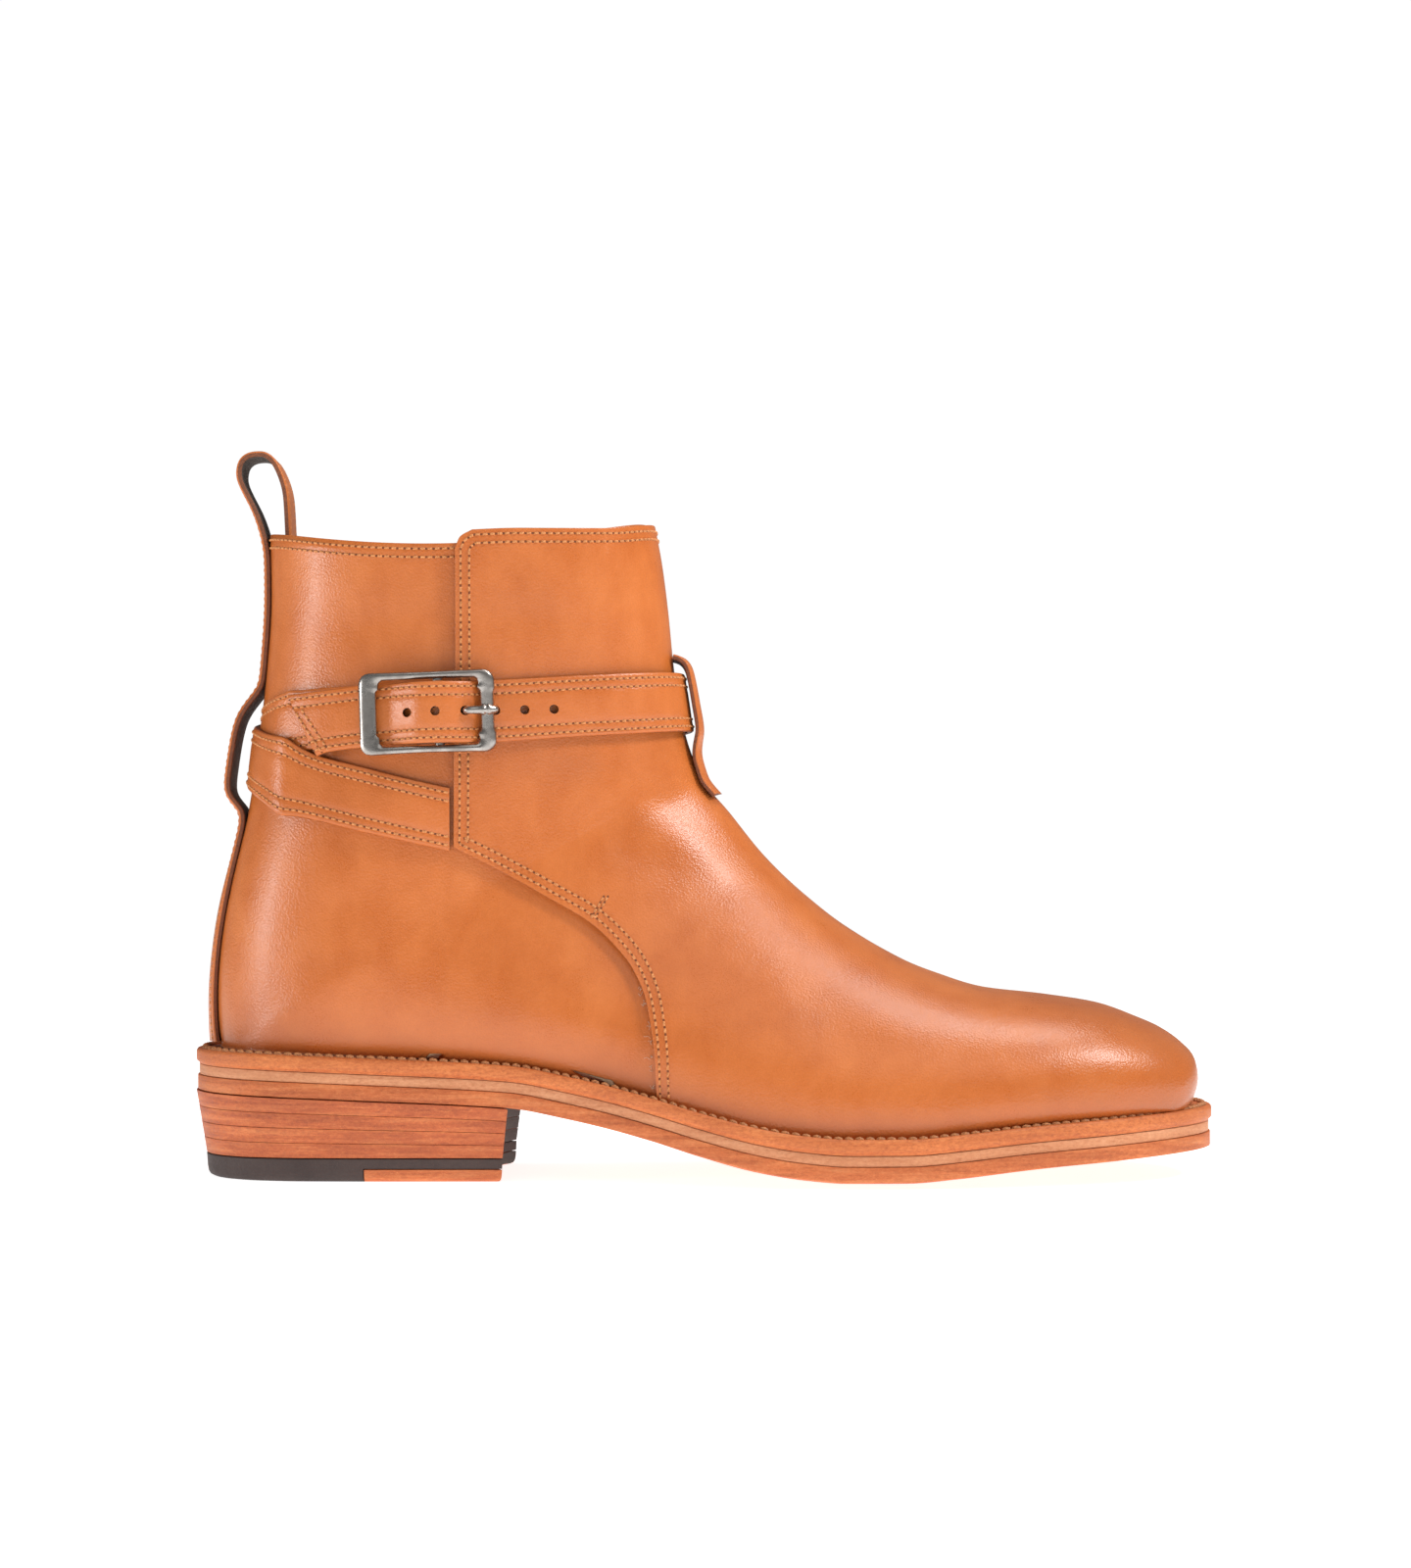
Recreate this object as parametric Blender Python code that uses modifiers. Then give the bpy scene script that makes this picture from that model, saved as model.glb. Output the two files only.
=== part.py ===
"""Right jodhpur boot with a wrapped ankle strap and a buckle, standing on its sole.

Metres, +Z up. +X points to the toe, -Y is the outer side that carries the buckle.
The origin lies on the floor under the heel.
"""

import math

import bmesh
import bpy
import numpy as np
from mathutils import Vector
from mathutils.bvhtree import BVHTree

# Sole and heel
SHOE_LENGTH = 0.303
BALL_WIDTH = 0.0995
ORIGIN_FROM_BACK = 0.045
HEEL_RISE = 0.0258
TOE_SPRING = 0.0090
EDGE_LIFT = 0.0022
OUTSOLE_THICKNESS = 0.0042
MIDSOLE_THICKNESS = 0.0028
WELT_THICKNESS = 0.0046
OUTSOLE_INSET = 0.0004
MIDSOLE_INSET = 0.0009
WELT_MARGIN = 0.0052
WELT_RIM = 0.0030
TOE_SHELF = 0.0022
HEEL_SHELF = 0.0018
INSOLE_THICKNESS = 0.0025
INSOLE_PLAY = 0.0016
HEEL_LENGTH = 0.0950
HEEL_TAPER = 0.0030
BREAST_HOLLOW = 0.0060
BREAST_RAKE = 0.0017
LIFT_COUNT = 4
TOP_PIECE_THICKNESS = 0.0068
TOP_PIECE_BEVEL = 0.0034
INSERT_THICKNESS = 0.0040
INSERT_BACK = 0.0530

# Upper
UPPER_HEIGHT = 0.1560
QUARTER_THICKNESS = 0.0020
VAMP_THICKNESS = 0.0018
COLLAR_STEP = 0.0060

# Straps, keepers and pull loop
STRAP_WIDTH = 0.0178
STRAP_THICKNESS = 0.0020
STRIP_WIDTH = 0.0125
STRIP_THICKNESS = 0.0017
KEEPER_WIDTH = 0.0125
KEEPER_THICKNESS = 0.0016
PULL_LOOP_HEIGHT = 0.0250
PULL_LOOP_DEPTH = 0.0160
HOLE_RADIUS = 0.0015
HOLE_PITCH = 0.0083
HOLE_COUNT = 6
PRONG_HOLE = 2

# Buckle
BUCKLE_AT = 0.2384
BUCKLE_UP = 0.6390
BUCKLE_SLOPE = 0.0700
BUCKLE_PLAY = 0.0006
BUCKLE_LIFT = 0.0009
FRAME_LENGTH = 0.0391
FRAME_REAR_BAR = 0.0050
FRAME_FRONT_BAR = 0.0044
FRAME_EDGE_BAR = 0.0024
FRAME_THICKNESS = 0.0025
FOLD_RETURN = 0.0035
CENTRE_BAR_RADIUS = 0.0014
CENTRE_BAR_FORWARD = 0.0033
BAR_DROP = 0.0006
PRONG_RADIUS = 0.0010
PRONG_HOLE_BACK = 0.0040
PRONG_DROP = 0.0034
PRONG_BEND = 0.0012
PRONG_OVERHANG = 0.0030

# Clearance between pieces, and between the welt and what stands on it
GAP = 0.0003
SEAT_GAP = 0.0005

# Shares of SHOE_LENGTH over which the welt's shelf widens at the heel and at the toe,
# and over which the vamp's thickness moves the quarters inward
HEEL_SHELF_SPAN = (0.00, 0.08)
TOE_SHELF_SPAN = (0.90, 1.00)
VAMP_STEP_SPAN = (0.42, 0.50)

# Rows and columns of the meshes
SOLE_ROWS = 27
SOLE_END_CROWDING = 0.75
SOLE_ROW_APART = 0.012
HEEL_ROWS = 11
PLAN_SAMPLES = 240
FLANK_STEPS = 4
CROWN_STEPS = 5
GUIDE_FINENESS = 3
STRAP_STEPS = 3
FOLD_STEPS = 6
BACK_STRIP_ROWS = 28
ACROSS = (-1.0, -0.75, -0.5, 0.5, 0.75, 1.0)
HEEL_ACROSS = (-1.0, -0.65, 0.0, 0.65, 1.0)
STRIP_ACROSS = (-0.5, 0.0, 0.5)

# Plan of the sole. at: share of SHOE_LENGTH from the back; outer and inner
# half-widths: shares of BALL_WIDTH.
PLAN = (
    # at, outer, inner
    (0.000, 0.060, 0.060),
    (0.005, 0.115, 0.115),
    (0.017, 0.190, 0.190),
    (0.035, 0.250, 0.250),
    (0.066, 0.302, 0.302),
    (0.115, 0.331, 0.330),
    (0.200, 0.337, 0.330),
    (0.300, 0.335, 0.308),
    (0.395, 0.390, 0.275),
    (0.450, 0.440, 0.280),
    (0.500, 0.480, 0.310),
    (0.550, 0.502, 0.360),
    (0.640, 0.512, 0.460),
    (0.710, 0.503, 0.497),
    (0.780, 0.474, 0.485),
    (0.840, 0.430, 0.452),
    (0.890, 0.380, 0.402),
    (0.930, 0.320, 0.342),
    (0.962, 0.250, 0.270),
    (0.984, 0.175, 0.190),
    (0.995, 0.110, 0.120),
    (1.000, 0.055, 0.060),
)

# Height of the sole's underside. heel: share of HEEL_RISE; toe: share of TOE_SPRING;
# edge: share of EDGE_LIFT by which the edges curl up.
UNDERSIDE = (
    # at, heel, toe, edge
    (0.000, 1.000, 0.00, 0.00),
    (0.160, 0.930, 0.00, 0.00),
    (0.315, 0.840, 0.00, 0.00),
    (0.370, 0.715, 0.00, 0.20),
    (0.410, 0.600, 0.00, 0.40),
    (0.450, 0.465, 0.00, 0.60),
    (0.495, 0.295, 0.00, 0.85),
    (0.550, 0.120, 0.00, 1.00),
    (0.595, 0.035, 0.00, 1.00),
    (0.635, 0.000, 0.00, 1.00),
    (0.690, 0.000, 0.00, 1.00),
    (0.740, 0.000, 0.13, 1.00),
    (0.800, 0.000, 0.36, 0.90),
    (0.870, 0.000, 0.59, 0.60),
    (0.930, 0.000, 0.79, 0.30),
    (1.000, 0.000, 1.00, 0.00),
)

# Sections of the upper from the toe to the collar. Each lies in a plane through a
# point on the front ridge and one at its base. at: shares of SHOE_LENGTH; up: shares
# of UPPER_HEIGHT above the welt; outer, inner and lean: shares of BALL_WIDTH; widest:
# share of the way from base to ridge; crown and flank: roundness above and below it;
# dip: share of UPPER_HEIGHT; cuts: rows up to the next section.
SECTIONS = (
    # ridge_at, ridge_up, base_at, base_up, outer, inner, widest, crown, flank, lean, dip, cuts
    (0.9685, 0.000, 0.948, 0.000, 0.215, 0.235, 0.10, 2.10, 1.00, 0.012, 0.0, 1),
    (0.9745, 0.023, 0.945, 0.000, 0.235, 0.255, 0.12, 2.15, 1.00, 0.012, 0.0, 1),
    (0.9785, 0.055, 0.941, 0.000, 0.255, 0.275, 0.15, 2.20, 1.00, 0.013, 0.0, 1),
    (0.9755, 0.085, 0.934, 0.000, 0.275, 0.297, 0.18, 2.25, 1.00, 0.014, 0.0, 1),
    (0.9650, 0.110, 0.922, 0.000, 0.302, 0.325, 0.20, 2.30, 1.00, 0.016, 0.0, 1),
    (0.9470, 0.138, 0.905, 0.000, 0.333, 0.355, 0.22, 2.30, 1.00, 0.018, 0.0, 1),
    (0.9220, 0.164, 0.880, 0.000, 0.368, 0.388, 0.23, 2.30, 1.00, 0.020, 0.0, 1),
    (0.8880, 0.194, 0.845, 0.000, 0.402, 0.420, 0.23, 2.28, 1.00, 0.022, 0.0, 1),
    (0.8380, 0.219, 0.790, 0.000, 0.437, 0.448, 0.23, 2.22, 1.00, 0.025, 0.0, 1),
    (0.7790, 0.244, 0.720, 0.000, 0.455, 0.455, 0.23, 2.15, 1.00, 0.028, 0.0, 2),
    (0.7290, 0.283, 0.635, 0.000, 0.462, 0.425, 0.23, 2.02, 1.00, 0.030, 0.0, 2),
    (0.6650, 0.346, 0.530, 0.000, 0.440, 0.350, 0.24, 1.90, 1.00, 0.030, 0.0, 3),
    (0.6020, 0.427, 0.400, 0.000, 0.390, 0.335, 0.26, 1.84, 1.00, 0.026, 0.0, 4),
    (0.5550, 0.499, 0.240, 0.000, 0.350, 0.340, 0.28, 1.82, 1.00, 0.020, 0.0, 3),
    (0.5190, 0.568, 0.100, 0.000, 0.338, 0.335, 0.31, 1.84, 0.85, 0.012, 0.0, 2),
    (0.4930, 0.612, 0.038, 0.000, 0.332, 0.330, 0.34, 1.88, 0.60, 0.006, 0.0, 3),
    (0.4860, 0.640, 0.018, 0.000, 0.326, 0.325, 0.37, 1.90, 0.52, 0.003, 0.0, 1),
    (0.4790, 0.670, 0.016, 0.091, 0.320, 0.320, 0.40, 1.94, 0.50, 0.000, 0.0, 2),
    (0.4705, 0.728, 0.023, 0.232, 0.317, 0.317, 0.43, 1.98, 0.50, 0.000, 0.0, 2),
    (0.4630, 0.819, 0.050, 0.453, 0.318, 0.318, 0.46, 2.02, 0.50, 0.000, 0.0, 2),
    (0.4575, 0.923, 0.066, 0.690, 0.328, 0.328, 0.48, 2.08, 0.50, 0.000, 0.010, 2),
    (0.4515, 1.009, 0.072, 0.858, 0.338, 0.338, 0.48, 2.12, 0.50, 0.000, 0.030, 1),
    (0.4445, 1.078, 0.071, 0.979, 0.346, 0.346, 0.48, 2.15, 0.50, 0.000, 0.050, 0),
)

# Rear edge and collar of the vamp, seen from the side.
VAMP_EDGE = (
    # at, up
    (0.457, -0.060),
    (0.455, 0.025),
    (0.4535, 0.080),
    (0.450, 0.132),
    (0.4445, 0.182),
    (0.432, 0.229),
    (0.414, 0.263),
    (0.391, 0.292),
    (0.354, 0.318),
    (0.299, 0.362),
    (0.262, 0.394),
    (0.2625, 0.560),
    (0.2640, 0.700),
    (0.2645, 0.943),
    (0.2690, 0.964),
    (0.2805, 0.979),
    (0.317, 0.988),
    (0.353, 1.003),
    (0.409, 1.036),
    (0.436, 1.062),
    (0.460, 1.092),
    (0.500, 1.130),
)

# Routes of the straps. at: share of SHOE_LENGTH where a ray leaves the shaft's middle
# plane; turn: its direction in degrees; up: share of UPPER_HEIGHT above the welt at the
# shaft's middle, or None along the buckle's own line; layer: straps that lie beneath;
# slant: share of STRAP_WIDTH by which the upper edge runs on further.
LONG_STRAP = (
    # at, turn, up, layer, slant
    (0.2580, -90, 0.444, 0.00, 0.0),
    (0.2150, -90, 0.462, 0.00, 0.0),
    (0.1700, -90, 0.485, 0.00, 0.0),
    (0.1650, -123, 0.507, 0.75, 0.0),
    (0.1800, -137, 0.522, 1.35, 0.0),
    (0.2000, -150, 0.541, 1.30, 0.0),
    (0.2475, -180, 0.571, 1.40, 0.0),
    (0.2000, -210, 0.590, 1.40, 0.0),
    (0.1650, -237, 0.608, 1.15, 0.0),
    (0.1700, -270, 0.621, 1.00, 0.0),
    (0.2475, -270, 0.637, 1.00, 0.0),
    (0.3100, -285, 0.645, 1.00, 0.0),
    (0.3100, -325, 0.657, 1.15, 0.0),
    (0.3080, -343, 0.664, 1.35, 0.0),
    (0.3000, -360, 0.669, 1.45, 0.0),
    (0.3080, -377, 0.666, 1.35, 0.0),
    (0.3100, -395, 0.660, 1.15, 0.0),
    (0.3200, -435, 0.651, 1.00, 0.0),
    (0.3020, -450, None, 1.03, 0.0),
    (0.2860, -450, None, 1.08, 0.0),
    (0.2765, -450, None, 2.10, 0.0),
    (0.2530, -450, None, 3.80, 0.0),
    (0.2376, -450, None, 3.60, 0.0),
    (0.2178, -450, None, 2.05, 0.0),
    (0.2046, -450, None, 1.30, 0.0),
    (0.1900, -450, None, 1.05, 0.0),
    (0.1650, -462, 0.626, 1.00, 0.0),
    (0.1600, -476, 0.617, 1.00, 0.62),
)
BUCKLE_STRAP = (
    # at, turn, up, layer, slant
    (0.2580, 90, 0.444, 0.00, 0.0),
    (0.2150, 90, 0.462, 0.00, 0.0),
    (0.1700, 90, 0.485, 0.00, 0.0),
    (0.1650, 123, 0.520, 0.00, 0.0),
    (0.2000, 150, 0.565, 0.12, 0.0),
    (0.2475, 180, 0.605, 0.15, 0.0),
    (0.2000, 210, 0.622, 0.12, 0.0),
    (0.1650, 237, 0.633, 0.00, 0.0),
    (0.1700, 270, 0.632, 0.00, 0.0),
    (0.1910, 270, None, 0.00, 0.0),
    (0.2046, 270, None, 0.15, 0.0),
    (0.2178, 270, None, 0.85, 0.0),
    (0.2277, 270, None, 1.65, 0.0),
    (0.2380, 270, None, 2.45, 0.0),
)

# Back strip on the heel seam, with a slack keeper over the straps.
BACK_STRIP = (
    # up, layer
    (0.026, 0.00),
    (0.070, 0.00),
    (0.130, 0.00),
    (0.220, 0.00),
    (0.330, 0.00),
    (0.430, 0.00),
    (0.466, 0.50),
    (0.492, 2.60),
    (0.525, 2.90),
    (0.575, 2.90),
    (0.625, 2.65),
    (0.655, 1.95),
    (0.690, 0.50),
    (0.715, 0.00),
    (0.780, 0.00),
    (0.860, 0.00),
    (0.930, 0.00),
    (0.975, 0.00),
)
# Pull loop above the back of the collar. back: share of PULL_LOOP_DEPTH behind the
# collar's back; up: share of PULL_LOOP_HEIGHT above it.
PULL_LOOP = (
    # back, up
    (0.205, 0.190),
    (0.460, 0.475),
    (0.600, 0.700),
    (0.555, 0.875),
    (0.335, 0.985),
    (0.100, 0.995),
    (-0.120, 0.920),
    (-0.300, 0.700),
    (-0.385, 0.500),
    (-0.410, 0.300),
    (-0.430, 0.020),
    (-0.450, -0.250),
    (-0.450, -0.560),
)
FRONT_KEEPER = (
    # up, layer
    (0.480, 1.55),
    (0.491, 1.45),
    (0.503, 1.35),
    (0.518, 1.28),
    (0.535, 1.25),
    (0.550, 1.25),
    (0.568, 1.50),
    (0.590, 2.10),
    (0.612, 2.70),
    (0.640, 2.85),
    (0.675, 2.85),
    (0.728, 2.65),
    (0.746, 2.00),
    (0.752, 1.15),
)

TAN_LEATHER = ((0.52, 0.19, 0.065, 1.0), 0.42, 0.0)
COLOURS = {
    "tan_leather": TAN_LEATHER,
    "sole_leather": ((0.40, 0.17, 0.065, 1.0), 0.62, 0.0),
    "midsole_leather": ((0.56, 0.33, 0.17, 1.0), 0.62, 0.0),
    "welt_leather": ((0.42, 0.17, 0.06, 1.0), 0.55, 0.0),
    "insole_leather": ((0.42, 0.27, 0.16, 1.0), 0.70, 0.0),
    "rubber": ((0.055, 0.038, 0.032, 1.0), 0.75, 0.0),
    "buckle_metal": ((0.48, 0.46, 0.43, 1.0), 0.28, 1.0),
}


def clear_scene():
    for item in list(bpy.data.objects):
        bpy.data.objects.remove(item, do_unlink=True)


def make_collection(name):
    collection = bpy.data.collections.new(name)
    bpy.context.scene.collection.children.link(collection)
    return collection


def make_material(name):
    colour, roughness, metallic = COLOURS[name]
    material = bpy.data.materials.new(name)
    material.use_nodes = True
    shader = material.node_tree.nodes["Principled BSDF"]
    shader.inputs["Base Color"].default_value = colour
    shader.inputs["Roughness"].default_value = roughness
    shader.inputs["Metallic"].default_value = metallic
    material.diffuse_color = colour
    return material


clear_scene()
PARTS = make_collection("jodhpur_boot")
CUTTERS = make_collection("cutters")
MATERIALS = {name: make_material(name) for name in COLOURS}


def smooth(xs, ys, x):
    """Monotone cubic curve through the rows of a table."""
    xs = np.asarray(xs, float)
    ys = np.asarray(ys, float)
    step = np.diff(xs)
    rise = np.diff(ys) / step
    slope = np.zeros(len(xs))
    same = rise[:-1] * rise[1:] > 0
    before = np.where(same, rise[:-1], 1.0)
    after = np.where(same, rise[1:], 1.0)
    slope[1:-1] = np.where(same, 2.0 * before * after / (before + after), 0.0)
    slope[0] = rise[0]
    slope[-1] = rise[-1]
    x = np.clip(x, xs[0], xs[-1])
    i = np.clip(np.searchsorted(xs, x, side="right") - 1, 0, len(xs) - 2)
    t = (x - xs[i]) / step[i]
    return (
        ys[i] * (1 + 2 * t) * (1 - t) ** 2
        + slope[i] * step[i] * t * (1 - t) ** 2
        + ys[i + 1] * t * t * (3 - 2 * t)
        + slope[i + 1] * step[i] * t * t * (t - 1)
    )


def ease(value, start, end):
    share = np.clip((value - start) / (end - start), 0.0, 1.0)
    return share * share * (3 - 2 * share)


def column(table, index):
    return [row[index] for row in table]


def new_object(name, mesh, material, collection=PARTS):
    item = bpy.data.objects.new(name, mesh)
    collection.objects.link(item)
    if material:
        mesh.materials.append(MATERIALS[material])
    if collection is CUTTERS:
        item.hide_render = True
        item.display_type = "WIRE"
    return item


def mesh_from(name, points, faces):
    """Mesh with doubled points welded, bare faces dropped and faces turned outward."""
    shape = bmesh.new()
    verts = [shape.verts.new(point) for point in points]
    for face in faces:
        shape.faces.new([verts[i] for i in face])
    bmesh.ops.remove_doubles(shape, verts=shape.verts, dist=1e-6)
    bmesh.ops.dissolve_degenerate(shape, dist=1e-6, edges=shape.edges)
    bmesh.ops.recalc_face_normals(shape, faces=shape.faces)
    mesh = bpy.data.meshes.new(name)
    shape.to_mesh(mesh)
    shape.free()
    mesh.shade_smooth()
    mesh.set_sharp_from_angle(angle=math.radians(35))
    return mesh


def grid_faces(rows, columns, start=0):
    faces = []
    for i in range(rows - 1):
        for j in range(columns - 1):
            a = start + i * columns + j
            faces.append((a, a + 1, a + columns + 1, a + columns))
    return faces


def slab(top, bottom):
    """Closed points and faces between two grids of points with the same layout."""
    rows = len(top)
    columns = len(top[0])
    points = [p for row in top for p in row] + [p for row in bottom for p in row]
    under = rows * columns
    faces = grid_faces(rows, columns)
    faces += [tuple(reversed(face)) for face in grid_faces(rows, columns, under)]
    rim = [j for j in range(columns)]
    rim += [i * columns + columns - 1 for i in range(1, rows)]
    rim += [(rows - 1) * columns + j for j in range(columns - 2, -1, -1)]
    rim += [i * columns for i in range(rows - 2, 0, -1)]
    for k, a in enumerate(rim):
        b = rim[(k + 1) % len(rim)]
        faces.append((b, a, a + under, b + under))
    return points, faces


def add_solidify(item, thickness, offset):
    modifier = item.modifiers.new("wall", "SOLIDIFY")
    modifier.thickness = thickness
    modifier.offset = offset
    modifier.use_even_offset = True
    modifier.use_quality_normals = True


def add_cut(item, cutter, operation="DIFFERENCE"):
    modifier = item.modifiers.new(cutter.name, "BOOLEAN")
    modifier.operation = operation
    modifier.solver = "EXACT"
    modifier.object = cutter


# Sole


def half_widths(s):
    at = s / SHOE_LENGTH
    outer = smooth(column(PLAN, 0), column(PLAN, 1), at) * BALL_WIDTH
    inner = smooth(column(PLAN, 0), column(PLAN, 2), at) * BALL_WIDTH
    return outer, inner


def shared_stations():
    """Places along the sole where every layer has a row, closer together at both ends.

    The ends of the flat rest under the ball are among them.
    """
    even = np.linspace(0, 1, SOLE_ROWS)
    eased = 0.5 * (1 - np.cos(math.pi * even))
    shares = even + SOLE_END_CROWDING * (eased - even)
    flat = [row[0] for row in UNDERSIDE if row[1] == 0 and row[2] == 0]
    apart = [
        share for share in shares if min(abs(share - end) for end in flat) > SOLE_ROW_APART
    ]
    return SHOE_LENGTH * np.array(sorted(apart + flat))


def underside_columns():
    at = column(UNDERSIDE, 0)
    shares = SHARED_PLACES / SHOE_LENGTH
    heel = smooth(at, column(UNDERSIDE, 1), shares) * HEEL_RISE
    toe = smooth(at, column(UNDERSIDE, 2), shares) * TOE_SPRING
    edge = smooth(at, column(UNDERSIDE, 3), shares) * EDGE_LIFT
    return heel + toe, edge


SHARED_PLACES = shared_stations()
MIDDLE_HEIGHTS, EDGE_LIFTS = underside_columns()


def underside(s, y):
    """Height of the sole's underside, straight between the shared places."""
    middle = np.interp(s, SHARED_PLACES, MIDDLE_HEIGHTS)
    edge = np.interp(s, SHARED_PLACES, EDGE_LIFTS)
    outer, inner = half_widths(s)
    width = np.where(np.asarray(y) < 0, outer, inner)
    share = np.clip(np.abs(y) / np.maximum(width, 1e-4), 0.0, 1.0)
    return middle + edge * np.clip((share - 0.5) / 0.5, 0.0, 1.0) ** 2


MIDSOLE_BOTTOM = OUTSOLE_THICKNESS + GAP
WELT_BOTTOM = MIDSOLE_BOTTOM + MIDSOLE_THICKNESS + GAP
WELT_TOP = WELT_BOTTOM + WELT_THICKNESS
SEAT = WELT_TOP + SEAT_GAP


def inset_plan(inset):
    """Half-widths of the sole's plan drawn in by a length that may vary along it."""
    s = 0.5 * SHOE_LENGTH * (1 - np.cos(np.linspace(0, math.pi, PLAN_SAMPLES)))
    margin = inset(s) if callable(inset) else np.full_like(s, inset)
    sides = []
    for width in half_widths(s):
        path = np.column_stack([s, width])
        along = np.gradient(path, axis=0)
        along /= np.linalg.norm(along, axis=1)[:, None]
        drawn = path + margin[:, None] * np.column_stack([along[:, 1], -along[:, 0]])
        keep = drawn[:, 1] > 0
        sides.append(drawn[keep])
    return sides


def width_at(sides, s):
    return [np.interp(s, side[:, 0], side[:, 1], left=0.0, right=0.0) for side in sides]


def ends(sides):
    return (
        max(sides[0][0, 0], sides[1][0, 0]),
        min(sides[0][-1, 0], sides[1][-1, 0]),
    )


def stations(start, end):
    inside = [s for s in SHARED_PLACES if start + 1e-4 < s < end - 1e-4]
    return [start] + inside + [end]


def plate_grid(sides, places, height):
    grid = []
    for s in places:
        outer, inner = width_at(sides, s)
        row = []
        for share in ACROSS:
            y = share * (outer if share < 0 else inner)
            row.append((s - ORIGIN_FROM_BACK, y, float(underside(s, y)) + height))
        grid.append(row)
    return grid


def sole_plate(name, inset, bottom, thickness, material, collection=PARTS):
    sides = inset_plan(inset)
    start, end = ends(sides)
    places = stations(start, end)
    top = plate_grid(sides, places, bottom + thickness)
    low = plate_grid(sides, places, bottom)
    return new_object(name, mesh_from(name, *slab(top, low)), material, collection)


VAMP_STEP = GAP + VAMP_THICKNESS


def upper_margin(s):
    """How far the upper's outside lies in from the sole's edge, more under the vamp."""
    at = s / SHOE_LENGTH
    shelf = TOE_SHELF * ease(at, *TOE_SHELF_SPAN)
    shelf += HEEL_SHELF * (1 - ease(at, *HEEL_SHELF_SPAN))
    return WELT_MARGIN + VAMP_STEP * ease(at, *VAMP_STEP_SPAN) + shelf


def make_sole():
    sole_plate("outsole", OUTSOLE_INSET, 0.0, OUTSOLE_THICKNESS, "sole_leather")
    sole_plate("midsole", MIDSOLE_INSET, MIDSOLE_BOTTOM, MIDSOLE_THICKNESS, "midsole_leather")
    welt = sole_plate("welt", 0.0, WELT_BOTTOM, WELT_THICKNESS, "welt_leather")
    cavity = sole_plate(
        "welt_cavity",
        lambda s: upper_margin(s) + WELT_RIM,
        WELT_BOTTOM - WELT_THICKNESS,
        3 * WELT_THICKNESS,
        None,
        CUTTERS,
    )
    add_cut(welt, cavity)
    sole_plate(
        "insole",
        lambda s: upper_margin(s) + WELT_RIM + INSOLE_PLAY,
        WELT_BOTTOM,
        WELT_THICKNESS + GAP + INSOLE_THICKNESS,
        "insole_leather",
    )


def heel_grid(height, inset):
    """Grid of one level of the heel, with its hollow front."""
    sides = inset_plan(inset)
    start = ends(sides)[0]
    share = inset / HEEL_TAPER
    grid = []
    for along in np.linspace(0, 1, HEEL_ROWS) ** 1.5:
        row = []
        for across in HEEL_ACROSS:
            s = start + (HEEL_LENGTH - BREAST_RAKE * share - start) * along
            outer, inner = width_at(sides, s)
            y = across * (outer if across < 0 else inner)
            s -= BREAST_HOLLOW * (1 - across * across) * along
            row.append((s - ORIGIN_FROM_BACK, y, height(s, y)))
        grid.append(row)
    return grid


def make_heel():
    floor = TOP_PIECE_THICKNESS + GAP

    def level(share, lift):
        return lambda s, y: (1 - share) * (float(underside(s, y)) - GAP) + share * floor + lift

    for i in range(LIFT_COUNT):
        high = i / LIFT_COUNT
        low = (i + 1) / LIFT_COUNT
        name = f"heel_lift_{i + 1}"
        top = heel_grid(level(high, 0.0), HEEL_TAPER * high)
        bottom = heel_grid(level(low, GAP if i < LIFT_COUNT - 1 else 0.0), HEEL_TAPER * low)
        new_object(name, mesh_from(name, *slab(top, bottom)), "sole_leather")

    top = heel_grid(lambda s, y: TOP_PIECE_THICKNESS, HEEL_TAPER)
    bottom = heel_grid(lambda s, y: 0.0, HEEL_TAPER + TOP_PIECE_BEVEL)
    rubber = new_object("top_piece", mesh_from("top_piece", *slab(top, bottom)), "rubber")
    insert = new_object(
        "top_piece_insert", mesh_from("top_piece_insert", *slab(top, bottom)), "sole_leather"
    )
    add_cut(rubber, box_cutter("insert_seat", INSERT_BACK, INSERT_THICKNESS))
    add_cut(
        insert,
        box_cutter("insert_block", INSERT_BACK + GAP, INSERT_THICKNESS - GAP),
        "INTERSECT",
    )


def box_cutter(name, back, top):
    """Cutter from a place along the sole to past the heel's front, up to a height."""
    room = HEEL_LENGTH
    shape = bmesh.new()
    bmesh.ops.create_cube(shape, size=1.0)
    for vert in shape.verts:
        vert.co.x = back - ORIGIN_FROM_BACK + (vert.co.x + 0.5) * room
        vert.co.y *= 2 * room
        vert.co.z = top if vert.co.z > 0 else -room
    mesh = bpy.data.meshes.new(name)
    shape.to_mesh(mesh)
    shape.free()
    return new_object(name, mesh, None, CUTTERS)


# Upper

FEATHER = inset_plan(upper_margin)
FEATHER_BACK, FEATHER_TOE = ends(FEATHER)


def place(at, up):
    """Side-view point from a share of the length and a share of the upper's height."""
    s = at * SHOE_LENGTH
    return s, float(underside(s, 0.0)) + SEAT + up * UPPER_HEIGHT


def side_width(section, share, base, widest):
    """Half-width of a section a share of the way from its base to its ridge."""
    top, crown, flank = section
    if share <= widest:
        q = share / widest
        return base + (top - base) * (1 - (1 - q) ** 2) ** flank
    q = (share - widest) / (1 - widest)
    return top * max(0.0, 1 - q**crown) ** (1 / crown)


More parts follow.
